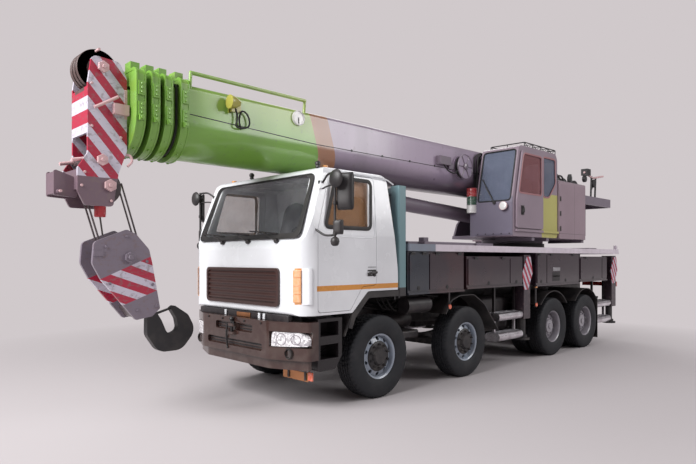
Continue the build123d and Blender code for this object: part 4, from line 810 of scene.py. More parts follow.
def wipers():
    """Three wipers parked low across the windscreen: each an arm from its spindle to the middle of a
    blade."""
    shapes = []
    for spindle, centre in ((0.72, 0.40), (0.12, -0.20), (-0.48, -0.78)):
        foot = on_screen(spindle, -0.06) + SCREEN_OUT * 0.015
        middle = on_screen(centre, 0.085) + SCREEN_OUT * 0.035
        left = on_screen(centre + 0.30, 0.055) + SCREEN_OUT * 0.018
        right = on_screen(centre - 0.30, 0.115) + SCREEN_OUT * 0.018
        shapes.append(disc("x", foot, 0.026, -0.03, 0.018, 16, 0.004))
        shapes.append(tube([foot, foot + (middle - foot) * 0.25, middle], 0.010, 8))
        shapes.append(tube([left, middle - SCREEN_OUT * 0.008, right], 0.008, 8))
        shapes.append(tube([left - SCREEN_OUT * 0.008, right - SCREEN_OUT * 0.008], 0.007, 6))
    return merged(*shapes)


def frame_round(outline, y, reach, width, depth):
    """A rubber or sheet frame that follows an (x, z) outline at a place on y: a flat section carried round
    it, its
    corners rounded by reach."""
    corners = np.column_stack([outline[:, 0], np.full(len(outline), y), outline[:, 1]])
    path = ring_path(corners, reach)
    along_path = np.roll(path, -1, 0) - np.roll(path, 1, 0)
    along_path /= np.linalg.norm(along_path, axis=1)[:, None]
    out = np.cross(along_path, (0, 1, 0))
    section = np.array([(-width / 2, 0), (-width / 2, depth * 0.7), (-width / 4, depth), (width / 4, depth),
                        (width / 2, depth * 0.7), (width / 2, 0)])
    rows = path[:, None] + out[:, None] * section[None, :, :1] + np.array([0, 1, 0]) * section[None, :, 1:]
    return grid(rows, close_u=True, close_v=True)


def gutters():
    """Drip rails over the doors."""
    rail = rounded([(3.03, 1.225, 2.80), (2.90, 1.205, 2.872), (2.0, 1.205, 2.872), (1.85, 1.22, 2.80)],
                   0.12, 6)
    return both(tube(rail, 0.010, 8))


def door_bead():
    """Raised bead on a door's skin, under the window and up its rear edge."""
    bead = tube(rounded([(3.12, 1.2495, 2.085), (2.70, 1.2515, 2.075), (2.27, 1.2515, 2.075),
                              (2.235, 1.2515, 2.12), (2.235, 1.2510, 2.60)], 0.05, 6), 0.0045, 8)
    return bead


def door_handle():
    """Pull handle: a flat cup, a bowed grip across it, the lock beside it and a raised line above."""
    cup = prism([(2.214, 1.590), (2.214, 1.672), (2.370, 1.672), (2.370, 1.590)][::-1], 1.2488, 1.2515)
    grip = tube(rounded([(2.225, 1.250, 1.635), (2.232, 1.284, 1.640), (2.352, 1.284, 1.628),
                         (2.360, 1.250, 1.625)],
                        0.02, 5), 0.017, 12)
    lock = disc("y", (2.245, 1.25, 1.600), 0.018, 0.0, 0.012, 20, 0.003)
    line = boxes([(2.215, 2.365, 1.249, 1.2525, 1.703, 1.709)])
    return merged(cup, grip, lock, line)


def corner_lamps():
    """Amber corner lamps: a tall lens on the front corner, its face following the corner's curve, cut by
    three bars."""
    turn = np.radians(np.linspace(14, 38, 9))
    high = np.array([1.300, 1.305, 1.395, 1.400, 1.405, 1.490, 1.495, 1.500, 1.590, 1.595, 1.600, 1.675,
                     1.680])
    proud = np.array([0.0, 0.012, 0.012, 0.005, 0.012, 0.012, 0.005, 0.012, 0.012, 0.005, 0.012, 0.012,
                      0.0])
    reach = 0.232 + proud[None, :]
    x = 3.200 + reach * np.cos(turn[:, None]) + 0.004
    y = 1.020 + reach * np.sin(turn[:, None])
    rows = np.stack(np.broadcast_arrays(x, y, high[None, :]), -1)
    return grid(rows)


def arch_trim():
    """Black lip under the cab's lower rear edge: a flat band that follows the wheel arch and stands a
    little proud."""
    line = np.array([(1.765, 1.392), (2.345, 1.392), (2.405, 1.362), (2.640, 1.130), (2.700, 0.965)])
    drop = np.array([(0.0, -0.078), (-0.020, -0.078), (-0.050, -0.062), (-0.062, -0.045), (-0.060, -0.020)])
    low = line + drop
    outer = np.column_stack([line[:, 0], np.full(5, 1.246), line[:, 1]])
    lower = np.column_stack([low[:, 0], np.full(5, 1.246), low[:, 1]])
    rows = np.stack([outer, lower, lower - (0, 0.07, 0), outer - (0, 0.07, 0)], 1)
    points, faces = grid(rows, close_v=True)
    return points, faces + [[0, 3, 2, 1], [16, 17, 18, 19]]


def roof_markers():
    """Two low turned fittings on the front of the roof."""
    knobs = [turned("z", (2.99, y, 2.928),
                    [(0.0, 0.030), (0.030, 0.024), (0.034, 0.034), (0.060, 0.036), (0.080, 0.020),
                                              (0.084, 0.0)], 24) for y in (1.00, -0.40)]
    return merged(*knobs)


piece("windscreen_border", screen_border(), seal, "carrier", 50)
piece("windscreen_rubber", screen_seal(), seal, "carrier", 50)
piece("wipers", wipers(), plastic, "carrier", 35)
piece("roof_gutters", gutters(), plain_white, "carrier", 50)
piece("roof_hatch", boxes([(2.25, 2.75, -0.30, 0.30, 2.928, 2.952)]), plain_white, "carrier",
      30, 0.006)
piece("roof_markers", roof_markers(), plastic, "carrier", 50)
piece("corner_lamps", both(corner_lamps()), amber_lens, "carrier", 30)
piece("arch_trim", both(arch_trim()), plastic, "carrier", 30)
for side, frame_shape in mirror_sides(frame_round(DOOR_WINDOW, 1.2475, 0.07, 0.050, 0.008)).items():
    piece("door_window_rubber_" + side, frame_shape, seal, "cab_door_" + side, 50)
for side, shape in mirror_sides(door_bead()).items():
    piece("door_press_" + side, shape, plain_white, "cab_door_" + side, 50)
for side, shape in mirror_sides(door_handle()).items():
    piece("door_handle_" + side, shape, plastic, "cab_door_" + side, 35)


# ---------------------------------------------------------------- mirrors
MIRROR_FACE = np.array([-0.086, 0.190, 0.0]) / np.hypot(0.086, 0.190)      # along the main glass, outwards
MIRROR_BACK = np.array([0.190, 0.086, 0.0]) / np.hypot(0.086,
                                                       0.190)       # from the glass towards the front


MAST = (3.166, 1.50)           # x, y of the mast that carries the mirrors


def mirror_housing(inner, width, depth, low, high):
    """A rounded shell behind a mirror glass. Across the glass its depth follows a rounded arch, and
    towards top and
    bottom both width and depth shrink along a quarter of a superellipse."""
    t = np.linspace(-1, 1, 17)
    swell = np.clip(1 - np.abs(t) ** 6, 0, 1) ** (1 / 2.6)
    u = np.linspace(0, np.pi, 15)
    across = 0.5 - 0.5 * np.sign(np.cos(u)) * np.abs(np.cos(u)) ** 0.55
    deep = np.abs(np.sin(u)) ** 0.75 * depth
    flat = np.concatenate([across, across[-2:0:-3]])
    back = np.concatenate([deep, np.full(len(across[-2:0:-3]), -0.006)])
    middle = 0.5 + (flat[None, :] - 0.5) * (0.86 + 0.14 * swell[:, None])
    z = (low + high) / 2 + t * (high - low) / 2
    rows = (np.asarray(inner, float) + MIRROR_FACE * (middle * width)[..., None]
            + MIRROR_BACK * (back[None, :] * swell[:, None])[..., None])
    rows[..., 2] = z[:, None]
    points, faces = grid(rows, close_v=True)
    return points, faces + ends(rows.shape[1], len(points))


def mirror_glass(inner, width, low, high):
    """The glass: a thin plate with rounded corners on the housing's rear face."""
    corners = np.array([(0.012, low), (width - 0.012, low), (width - 0.012, high), (0.012, high)])
    path = np.column_stack([corners[:, 0], np.zeros(4), corners[:, 1]])
    flat = ring_path(path, 0.03)
    across, up = MIRROR_FACE * flat[:, :1], np.array([0, 0, 1]) * flat[:, 2:]
    ring = np.asarray(inner, float) * (1, 1, 0) + across + up
    front, rear = ring - MIRROR_BACK * 0.004, ring - MIRROR_BACK * 0.008
    points, faces = grid(np.stack([front, rear], 0), close_v=True)
    return points, faces + ends(len(ring), len(points))


def mirror_frames():
    """Two tubes from the pillar to the mast, the mast itself with its clamps, and the round mirror's shell
    in front."""
    top = tube(rounded([(3.08, 1.175, 2.70), (3.13, 1.34, 2.80), (*MAST, 2.80), (*MAST, 2.62)],
                       0.05, 6),
               0.013, 10)
    low = tube(rounded([(3.24, 1.215, 2.17), (3.20, 1.36, 2.08), (*MAST, 2.08), (*MAST, 2.30)],
                       0.05, 6),
               0.013, 10)
    mast = tube([(*MAST, 2.06), (*MAST, 2.81)], 0.015, 12)
    brace = tube(rounded([(3.085, 1.180, 2.64), (3.13, 1.33, 2.66), (*MAST, 2.66)], 0.05, 6), 0.010,
                 8)
    clamps = [disc("z", (*MAST, z), 0.024, -0.02, 0.02, 16, 0.004) for z in (2.10, 2.45, 2.72)]
    pads = boxes([(3.06, 3.13, 1.165, 1.195, 2.60, 2.74), (3.215, 3.265, 1.200, 1.225, 2.12, 2.22)])
    bowl = turned("x", ROUND_MIRROR,
                  [(0.004, 0.0), (0.004, 0.092), (0.0, 0.098), (0.012, 0.106), (0.030, 0.096),
                                      (0.048, 0.058), (0.054, 0.0)], 32)
    arm = tube([(*MAST, 2.72), (3.225, 1.555, 2.72)], 0.009, 8)
    return merged(top, low, mast, brace, pads, bowl, arm, *clamps)


ROUND_MIRROR = (3.195, 1.560, 2.720)
MAIN_INNER, SMALL_INNER = (3.112, 1.478, 0.0), (3.150, 1.462, 0.0)
shells = merged(mirror_housing(MAIN_INNER, 0.208, 0.062, 2.370, 2.800),
                mirror_housing(SMALL_INNER, 0.120, 0.050, 2.090, 2.260), mirror_frames())
bulb = turned("z", (*MAST, 2.01), [(-0.055, 0.0), (-0.050, 0.030), (-0.030, 0.046), (0.0, 0.052),
                                         (0.030, 0.046), (0.050, 0.024), (0.055, 0.0)], 24)
cup = piece("mirror_housings", both(merged(shells, bulb)), plastic, "carrier", 40)
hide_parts("mirrors")
dome = turned("x", ROUND_MIRROR,
              [(-0.010, 0.0), (-0.004, 0.050), (0.003, 0.091), (0.006, 0.091), (0.006, 0.0)], 32)
glasses = merged(mirror_glass(MAIN_INNER, 0.208, 2.385, 2.785),
                 mirror_glass(SMALL_INNER, 0.120, 2.100, 2.250), dome)
piece("mirror_glasses", both(glasses), chrome, "carrier", 30)


# ---------------------------------------------------------------- seats and controls
def tipped(tilt):
    """The matrix that turns points about y by tilt degrees."""
    a = math.radians(tilt)
    return np.array([[math.cos(a), 0, math.sin(a)], [0, 1, 0], [-math.sin(a), 0, math.cos(a)]])


def cushion(centre, size, tilt=0.0, power=0.28, channels=0, seam=0.006):
    """A crowned closed pad. On a ball's two angles each axis takes a small power of its sine or cosine,
    which gives a
    squared plan with bulging faces; channels sink along grooves whose depth falls off from each line, and
    the piping
    round its waist is a ridge. The pad is tilted about y by tilt degrees."""
    u = np.linspace(-np.pi / 2, np.pi / 2, 25)[:, None]
    v = np.linspace(0, 2 * np.pi, 48, endpoint=False)[None, :]

    def bent(value, p):
        return np.sign(value) * np.abs(value) ** p

    plan = bent(np.cos(u), power)
    x, y = plan * bent(np.cos(v), power), plan * bent(np.sin(v), power)
    crown = bent(np.sin(u), 0.62)
    thick = crown * (1.0 + 0.22 * (1 - x ** 2) * (1 - y ** 2))
    if channels:
        place = (x + 1) / 2 * (channels + 1)
        groove = np.exp(-((place - np.round(place)) / 0.07) ** 2) * (np.round(place) > 0) * (
            np.round(place) <= channels)
        thick = thick - 0.16 * groove * np.sign(crown) * (np.abs(crown) > 0.5)
    waist = 1 + seam / size[0] * 2 * np.exp(-(np.sin(u) / 0.05) ** 2)
    rows = np.stack([x * waist * size[0] / 2, y * waist * size[1] / 2, thick * size[2] / 2], -1)
    points, faces = grid(rows, close_v=True)
    return points @ tipped(tilt).T + np.asarray(centre, float), [f[::-1] for f in faces]


def steering_wheel(centre, radius, tilt):
    """A rim, three spokes and a hub, turned back by tilt degrees about y."""
    turn = np.linspace(0, 2 * np.pi, 40, endpoint=False)
    flat = np.column_stack([np.cos(turn), np.sin(turn), np.zeros(40)]) * radius
    spin = tipped(tilt)
    rim = flat @ spin.T + centre
    shapes = [tube(rim, 0.014, 10, closed=True)]
    for part in (0, 13, 27):
        shapes.append(tube([rim[part], (rim[part] + 2 * np.asarray(centre)) / 3, centre], 0.012, 8))
    hub = disc("z", (0, 0, 0), 0.055, -0.03, 0.02, 24, 0.01)
    shapes.append((hub[0] @ spin.T + centre, hub[1]))
    return merged(*shapes)


CAB_FLOOR = 1.515
OPCAB_FLOOR = 2.24
SEAT_Y = 0.62                  # how far the driver's and the passenger's seats stand from the middle
CONSOLE_Y = (0.60, 1.075)      # the operator's two consoles


def cab_fittings():
    """Floor, dashboard with its hood over the dials, steering column, gear lever, the seats' feet and
    their belts."""
    dash = prism([(3.380, CAB_FLOOR), (3.380, 1.930), (3.330, 1.972), (3.215, 2.030), (3.180, 2.036),
                  (3.000, 1.985),
                       (2.966, 1.955), (2.966, 1.900), (3.060, 1.830), (3.140, 1.700), (3.140, CAB_FLOOR)],
                 -0.99, 0.99)
    hood = prism([(3.20, 2.00), (3.19, 2.075), (3.12, 2.095), (2.99, 2.045), (2.985, 2.00)], 0.40, 0.86)
    floor = boxes([(1.90, 3.38, -1.14, 1.14, 1.482, CAB_FLOOR), (2.0, 2.5, -0.22, 0.22, CAB_FLOOR, 1.80)])
    column = tube([(3.09, SEAT_Y, 1.72), (2.85, SEAT_Y, 2.055)], 0.034, 14)
    lever = tube(rounded([(2.72, 0.12, CAB_FLOOR), (2.68, 0.14, 1.75), (2.72, 0.16, 1.98)], 0.1, 5), 0.010,
                 8)
    feet = boxes([(2.17, 2.53, y - 0.17, y + 0.17, CAB_FLOOR, 1.70) for y in (SEAT_Y, -SEAT_Y)])
    belts = [tube([(1.86, y + 0.28, 2.62), (2.02, y + 0.24, 2.15), (2.16, y + 0.22, 1.80)], 0.009, 6)
             for y in (SEAT_Y, -SEAT_Y)]
    return merged(dash, hood, floor, column, lever, feet, *belts)


def operator_fittings():
    """Floor box of the seat and the two consoles, each with a lever and its grip."""
    consoles = boxes([(-2.15, -1.78, y - 0.055, y + 0.055, OPCAB_FLOOR, 2.72) for y in CONSOLE_Y])
    levers = [tube(rounded([(-1.84, y, 2.72), (-1.82, y, 2.80), (-1.80, y, 2.88)], 0.03, 5), 0.010, 8)
              for y in CONSOLE_Y]
    grips = [turned("z", (-1.80, y, 2.90),
                    [(-0.03, 0.0), (-0.028, 0.014), (0.0, 0.020), (0.03, 0.016), (0.036, 0.0)],
                    14) for y in CONSOLE_Y]
    foot = boxes([(-2.18, -1.80, 0.69, 0.99, OPCAB_FLOOR, 2.43)])
    return merged(consoles, foot, *levers, *grips)


fittings = piece("cab_fittings", merged(cab_fittings(), steering_wheel((2.83, SEAT_Y, 2.08), 0.222, -37)),
                 plastic,
                 "carrier", 30, 0.008)
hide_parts("cab_interior")
consoles = piece("operator_consoles", operator_fittings(), plastic, "superstructure", 30,
                 0.006)
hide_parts("operator_seat")
# name, body, place of the cushion's middle, its size, place and size of the back
SEATS = [
    ("driver", "carrier", (2.350, SEAT_Y, 1.815), (0.52, 0.49, 0.15), (2.09, SEAT_Y, 2.22),
     (0.13, 0.47, 0.76)),
    ("passenger", "carrier", (2.350, -SEAT_Y, 1.815), (0.52, 0.49, 0.15), (2.09, -SEAT_Y, 2.22),
     (0.13, 0.47, 0.76)),
    ("operator", "superstructure", (-2.005, 0.8375, 2.505), (0.49, 0.335, 0.13), (-2.245, 0.8375, 2.895),
     (0.12, 0.315, 0.72)),
]
for name, body, place, size, back_place, back_size in SEATS:
    pad = piece(name + "_cushion", cushion(place, size, channels=3), seat_cloth, body, 60)
    rest = piece(name + "_backrest", cushion(back_place, back_size, -9.0, 0.30), seat_cloth, body, 60)


# ---------------------------------------------------------------- front end
def fog_rings():
    """Rings round the fog lamps."""
    fog = turned("x", (3.448, 1.0, 0.700), [(-0.03, 0.050), (-0.03, 0.062), (0.002, 0.064), (0.010, 0.060),
                                            (0.010, 0.050), (-0.004, 0.046), (-0.03, 0.046)], 32)
    return both(fog)


def bumper_details():
    """Bolts along the bumper, bars in its openings, the tow pin with its ball and handle, and a hanging
    strap."""
    bolts = [(3.553, y, 1.035) for y in (-0.60, -0.25, 0.25, 0.60)]
    heads = studs("x", bolts, 0.014, 0.010)
    slots = boxes([(3.507, 3.516, -0.61, 0.61, z, z + 0.012) for z in (0.722, 0.755)]
                  + [(3.507, 3.516, -0.41, -0.10, z, z + 0.012) for z in (0.925, 0.960)]
                  + [(3.507, 3.516, 0.10, 0.41, z, z + 0.012) for z in (0.925, 0.960)])
    pin = tube([(3.575, 0, 0.842), (3.575, 0, 1.03)], 0.017, 14)
    ball = turned("z", (3.575, 0, 1.045),
                  [(-0.03, 0.0), (-0.026, 0.022), (0.0, 0.034), (0.026, 0.022), (0.03, 0.0)], 20)
    handle = tube(rounded([(3.575, 0.0, 1.02), (3.60, 0.06, 1.02), (3.60, 0.09, 0.98)], 0.03, 5), 0.008, 8)
    strap = tube(rounded([(3.565, -0.11, 0.99), (3.575, -0.13, 0.86), (3.55, -0.15, 0.72),
                          (3.56, -0.12, 0.66)],
                         0.05, 6), 0.012, 8)
    return merged(heads, slots, pin, ball, handle, strap)


def under_bumper():
    """Plate below the bumper's left end, and the two straps that hang it."""
    plate = boxes([(3.205, 3.213, 0.60, 1.08, 0.345, 0.455)])
    straps = boxes([(3.213, 3.225, y, y + 0.03, 0.36, 0.56) for y in (0.70, 1.02)])
    return plate, straps


def cab_gap():
    """What shows between the cab and the bumper: a copper-coloured plate and three pale latch bars over a
    dark sill."""
    plate = boxes([(3.452, 3.462, -0.06, 0.24, 1.074, 1.130)])
    bars = boxes([(3.455, 3.470, y, y + 0.045, 1.072, 1.142) for y in (0.42, 0.52, -0.34)])
    sill = boxes([(3.380, 3.45, -1.0, 1.0, 1.06, 1.145)])
    return plate, bars, sill


piece("fog_bezels", fog_rings(), plastic, "carrier", 30)
piece("bumper_fittings", bumper_details(), cast, "carrier", 35)
reflector, straps = under_bumper()
piece("reflector_plate", reflector, copper, "carrier", 30, 0.003)
piece("reflector_straps", straps, frame_paint, "carrier", 30)
piece("reflector_lamp", boxes([(3.200, 3.222, 1.085, 1.165, 0.365, 0.470)]), orange_lens, "carrier",
      30, 0.004)
plate, bars, sill = cab_gap()
piece("radiator_plate", plate, copper, "carrier", 30, 0.003)
piece("latch_bars", bars, plain_white, "carrier", 30, 0.004)
piece("cab_sill", sill, frame_paint, "carrier", 30, 0.01)


# ---------------------------------------------------------------- sides of the carrier
def locker_fittings():
    """Flush latches and hinges of the locker doors on the left, in rows of (x, z)."""
    latches = [(0.66, 1.40), (1.33, 1.40), (-0.46, 1.42), (-1.33, 1.42), (-2.21, 1.40), (-3.18, 1.40),
               (-4.45, 1.42)]
    cups = merged(*[disc("y", (x, 1.232, z), 0.032, 0.0, 0.004, 20, 0.001) for x, z in latches])
    keys = boxes([(x - 0.020, x + 0.020, 1.234, 1.240, z - 0.006, z + 0.006) for x, z in latches])
    hinges = [(x, top) for x, top in ((0.35, 1.865), (0.90, 1.865), (1.20, 1.865), (1.45, 1.865),
                                      (-0.10, 1.80), (-0.90, 1.80), (-2.15, 1.865), (-2.60, 1.865),
                                      (-3.50, 1.865),
                                      (-4.1, 1.81))]
    leaves = boxes([(x - 0.045, x + 0.045, 1.231, 1.238, z, z + 0.03) for x, z in hinges])
    knuckles = merged(*[tube([(x - 0.045, 1.240, z + 0.032), (x + 0.045, 1.240, z + 0.032)], 0.008, 8)
                        for x, z in hinges])
    return merged(cups, keys, leaves, knuckles)


def control_recess():
    """A flat dark plate on the third locker that paints the shade of the outrigger levers' recess, with its
    row of short levers.
    """
    # painted shade: a thin black sheet on the locker face in place of a recess
    hole = boxes([(-2.930, -2.640, 1.2325, 1.2345, 1.395, 1.565)])
    levers = [tube([(x, 1.235, 1.47), (x, 1.250, 1.50)], 0.007, 8) for x in np.linspace(-2.90, -2.67, 6)]
    return merged(hole, *levers)


def deck_fittings():
    """Raised bands along the deck's inner part, small blocks beside them and two low hatches."""
    band = boxes([(-1.10, 0.80, 0.60, 0.92, 2.02, 2.075), (-1.10, 0.80, -0.92, -0.60, 2.02, 2.075)])
    blocks = boxes([(0.60, 0.72, 0.74, 0.84, 2.075, 2.14), (-0.62, -0.54, 0.94, 1.02, 2.02, 2.07),
                    (1.18, 1.40, 0.70, 1.10, 2.02, 2.06), (-5.3, -4.9, 0.50, 0.95, 2.02, 2.05)])
    return merged(band, blocks)


def lamp_dividers():
    """Thin dark dividers between the chambers of each tail lamp."""
    return boxes([(-5.808, -5.800, y, y + 0.006, 1.20, 1.29) for y in (0.985, 1.095, -0.991, -1.101)])


def side_markers():
    """Small round reflectors along both sides."""
    lamps = [disc("y", (x, 1.238, z), 0.034, -0.012, 0.006, 24, 0.003) for x,
             z in ((0.595, 1.10), (-2.023, 0.985))]
    return both(merged(*lamps))


def marker_brackets():
    """Bent strips that hang the markers from the lockers' lower rails."""
    arms = boxes([(0.580, 0.610, 1.205, 1.226, 1.06, 1.33), (-2.040, -2.006, 1.205, 1.226, 0.945, 1.33),
                  (1.735, 1.765, 1.205, 1.240, 1.29, 1.31)])
    return both(arms)


def step_plates():
    """Ribbed grip on the bright treads: fine ridges along each."""
    rows = []
    for x1, x0, side, low in ((-0.825, -1.59, 1, 0.5), (-0.825, -1.59, -1, 0.5), (-4.716, -5.435, 1, 0.5),
                              (-4.716, -5.255, -1, 0.5)):
        for z in (low, 0.835 if x1 > -1 else 0.84):
            for k in range(5):
                y0, y1 = sorted((side * (0.99 + k * 0.035), side * (1.0 + k * 0.035)))
                rows.append((x0 + 0.03, x1 - 0.03, y0, y1, z + 0.069, z + 0.075))
    return boxes(rows)


def under_deck_lines():
    """Hoses and pipes along the frame behind the cab and beside the tanks, sagging between their clips."""
    shapes = []
    for y, z, drop, radius in ((0.455, 1.16, 0.05, 0.016), (0.475, 1.20, 0.08, 0.012),
                               (0.50, 1.13, 0.06, 0.020)):
        t = np.linspace(0, 1, 40)
        x = 1.70 - 3.2 * t
        sag = z - drop * np.abs(np.sin(t * np.pi * 4))
        shapes.append(tube(np.column_stack([x, np.full(40, y), sag]), radius, 8))
    loops = [tube(rounded([(1.58, y, 1.30), (1.50, y + 0.05, 1.12), (1.36, y + 0.02, 1.06),
                           (1.20, y, 1.16)], 0.12, 7),
                  0.014, 8) for y in (0.62, 0.72, 0.82)]
    return both(merged(*shapes, *loops))


piece("locker_latches", both(locker_fittings()), cast, "carrier", 35)
# painted shade: the dark plate that stands for the lever recess
piece("lever_recess_painted_shade", control_recess(), plastic, "carrier", 30)
piece("lever_plate", boxes([(-2.945, -2.665, 1.232, 1.238, 1.585, 1.650)]), steel, "carrier",
      30, 0.002)
piece("deck_fittings", deck_fittings(), grey_paint, "carrier", 30, 0.008)
piece("side_markers", side_markers(), orange_lens, "carrier", 35)
piece("marker_brackets", marker_brackets(), frame_paint, "carrier", 30)
piece("tread_ribs", step_plates(), steel, "carrier", 30)
piece("frame_hoses", under_deck_lines(), seal, "carrier", 50)
piece("tail_lamp_bars", lamp_dividers(), plastic, "carrier", 30)


# ---------------------------------------------------------------- operator's cab
OPSCREEN_FOOT = np.array([-1.2350, 2.790])
OPSCREEN_TOP = np.array([-1.4600, 3.760])
OPSCREEN_OUT = np.array([0.974, 0.0, 0.226])
OPDOOR_PANE = np.array([(-1.400, 2.960), (-1.560, 3.660), (-2.210, 3.660), (-2.210, 2.960)])[::-1]
OPQUARTER = np.array([(-2.345, 2.950), (-2.345, 3.690), (-2.810, 3.690), (-2.830, 3.230),
                      (-2.560, 2.950)])[::-1]


def on_opscreen(across, up):
    """Places on the operator's windscreen: across along y, up from 0 at its foot to 1 at its top."""
    xz = OPSCREEN_FOOT + up * (OPSCREEN_TOP - OPSCREEN_FOOT)
    return np.array([xz[0], across, xz[1]])


def operator_seals():
    """Rubbers of the windscreen and the quarter window."""
    corners = [on_opscreen(y, u) for y,
               u in ((0.515, 0.035), (1.160, 0.035), (1.160, 0.965), (0.515, 0.965))]
    path = ring_path(corners, 0.06)
    screen = tube(path + OPSCREEN_OUT * 0.003, 0.012, 8, closed=True)
    return screen, frame_round(OPQUARTER, 1.199, 0.06, 0.030, 0.007)


def roof_guard():
    """Low rail of thin bars round the cab's roof on short posts, with a zigzag brace along each side."""
    z, front, rear, sides = 3.875, -1.70, -2.86, (0.50, 1.175)
    loop = ring_path([(front, sides[0], z), (front, sides[1], z), (rear, sides[1], z), (rear, sides[0], z)],
                     0.04)
    inner = (-1.99, -2.28, -2.57)
    posts = [(x, y) for x in (front, *inner, rear) for y in sides] + [(front, 0.84), (rear, 0.84)]
    shapes = [tube(loop, 0.010, 8, closed=True)]
    shapes += [tube([(x, y, 3.785), (x, y, z)], 0.008, 8) for x, y in posts]
    shapes += [tube([(front - 0.145 * k, y, 3.80 if k % 2 else z) for k in range(9)], 0.006,
                    6) for y in sides]
    shapes += [tube([(x, sides[0], z), (x, sides[1], z)], 0.007, 6) for x in inner]
    return merged(*shapes)


def operator_wiper():
    """One wiper, parked slanting across the windscreen's lower inner half."""
    foot, tip = on_opscreen(0.86, 0.0) + OPSCREEN_OUT * 0.02, on_opscreen(0.66, 0.30) + OPSCREEN_OUT * 0.03
    blade = [on_opscreen(0.80, 0.10) + OPSCREEN_OUT * 0.016, on_opscreen(0.56, 0.46) + OPSCREEN_OUT * 0.016]
    return merged(tube([foot, (foot + tip) / 2, tip], 0.011, 8), tube(blade, 0.010, 8),
                  disc("x", foot, 0.028, -0.03, 0.012, 16, 0.004))


def work_lamp(centre, radius):
    """A round lamp's dished housing, its glass and the lip round it, facing forwards."""
    shell = turned("x", centre, [(-0.085, 0.0), (-0.080, radius * 0.45), (-0.045, radius * 0.85),
                                 (-0.01, radius), (0.006, radius * 1.04), (0.012, radius * 0.98),
                                 (0.004, radius * 0.93)],
                   32)
    pane = turned("x", centre, [(0.003, radius * 0.94), (0.010, radius * 0.7), (0.014, 0.0)], 32)
    return shell, pane


def signal_column():
    """Red, green and pale drums of the signal lamp, one above the other, each ringed by shallow waves."""
    drums = {}
    for name, low, high in (("red", 2.935, 3.085), ("green", 2.785, 2.930), ("pale", 2.640, 2.780)):
        z = np.linspace(low, high, 13)
        r = 0.096 - 0.004 * np.abs(np.sin(np.linspace(0, 3 * np.pi, 13)))
        profile = np.column_stack([np.concatenate([[low], z, [high]]), np.concatenate([[0.0], r, [0.0]])])
        drums[name] = turned("z", (-1.235, 0.395, 0.0), profile, 32)
    return drums


def cab_hoses():
    """Hoses between the boom and the cab, rising in a tall loop beside the windscreen, and the stay they
    hang on."""
    shapes = []
    for shift in (0.0, 0.035, 0.07):
        path = [(-1.33, 0.435 - shift * 0.6, 2.75), (-1.33, 0.44 - shift * 0.6, 3.30),
                (-1.38 - shift, 0.43, 3.72 - shift),
                (-1.52 - shift, 0.43, 3.76 - shift), (-1.62, 0.44, 3.40), (-1.66, 0.45, 3.00)]
        shapes.append(tube(rounded(path, 0.18, 7), 0.013, 8))
    stay = tube(rounded([(-1.30, 0.40, 2.79), (-1.30, 0.40, 3.66), (-1.42, 0.42, 3.74),
                         (-1.52, 0.47, 3.72)], 0.1, 6),
                0.012, 8)
    return merged(stay, *shapes)


def sliding_door_handle():
    """The sliding door's handle: a back plate and a bowed grip on it."""
    handle = merged(boxes([(-1.560, -1.475, 1.240, 1.252, 2.58, 2.74)]),
                    tube(rounded([(-1.50, 1.245, 2.60), (-1.50, 1.285, 2.62), (-1.50, 1.285, 2.70),
                                  (-1.50, 1.245, 2.72)],
                                 0.02, 5), 0.012, 10))
    return handle


def panel_bolts():
    """Bolt heads along the lower edge of the operator cab's front."""
    rows = [(-1.236, y, 2.25) for y in np.linspace(0.52, 1.15, 5)]
    return studs("x", rows, 0.012, 0.008)


screen_ring, quarter_ring = operator_seals()
piece("operator_screen_rubber", screen_ring, seal, "superstructure", 50)
piece("operator_quarter_frame", quarter_ring, window_red, "superstructure", 50)
piece("operator_roof_guard", roof_guard(), cast, "superstructure", 50)
piece("operator_wiper", operator_wiper(), plastic, "superstructure", 40)
shell, pane = work_lamp((-1.175, 1.062, 2.728), 0.075)
piece("operator_work_lamp", shell, pink, "superstructure", 40)
piece("operator_work_lamp_glass", pane, pale_lens, "superstructure", 50)
for name, finish in (("red", red_lens), ("green", green_lens), ("pale", pale_lens)):
    piece("signal_" + name, signal_column()[name], finish, "superstructure", 50)
piece("cab_hoses", cab_hoses(), seal, "superstructure", 50)
piece("operator_panel_bolts", panel_bolts(), cast, "superstructure", 35)
piece("operator_door_rubber", frame_round(OPDOOR_PANE, 1.239, 0.07, 0.030, 0.007), window_red,
      "operator_door", 50)
piece("operator_door_handle", sliding_door_handle(), plastic, "operator_door", 35)


# ---------------------------------------------------------------- tail
def drum_rope(x):
    """Rope wound on a winch drum: the profile's radius swells once for each turn of rope, and steps up a
    layer in the
    middle."""
    turns = 30
    y = np.linspace(-0.306, 0.306, turns * 6 + 1)
    layer = 0.186 + 0.011 * (np.abs(y) < 0.20)
    r = layer + 0.0085 * np.abs(np.sin((y + 0.306) / 0.612 * np.pi * turns))
    profile = np.column_stack([np.concatenate([[-0.306], y, [0.306]]), np.concatenate([[0.15], r, [0.15]])])
    return turned("y", (x, 0.0, 3.405), profile, 48)


def housing_top():
    """Valves, caps and hoses on the machine housing's roof."""
    caps = [turned("z", (x, y, 3.33), [(0.0, 0.0), (0.0, r), (h * 0.7, r), (h, r * 0.7), (h, 0.0)], 24)
            for x, y, r, h in ((-3.35, 0.95, 0.07, 0.10), (-3.62, 0.80, 0.10, 0.16),
                               (-3.90, 0.98, 0.05, 0.22))]
    pipes = [tube(rounded([(-3.20, 0.85, 3.33), (-3.22, 0.86, 3.50), (-3.45, 0.88, 3.56),
                           (-3.62, 0.90, 3.45),
                           (-3.70, 0.92, 3.33)], 0.1, 7), 0.020, 8),
             tube(rounded([(-3.85, 0.70, 3.33), (-3.86, 0.72, 3.55), (-4.05, 0.75, 3.56),
                           (-4.10, 0.78, 3.34)], 0.1, 7),
                  0.018, 8)]
    return merged(*caps, *pipes)


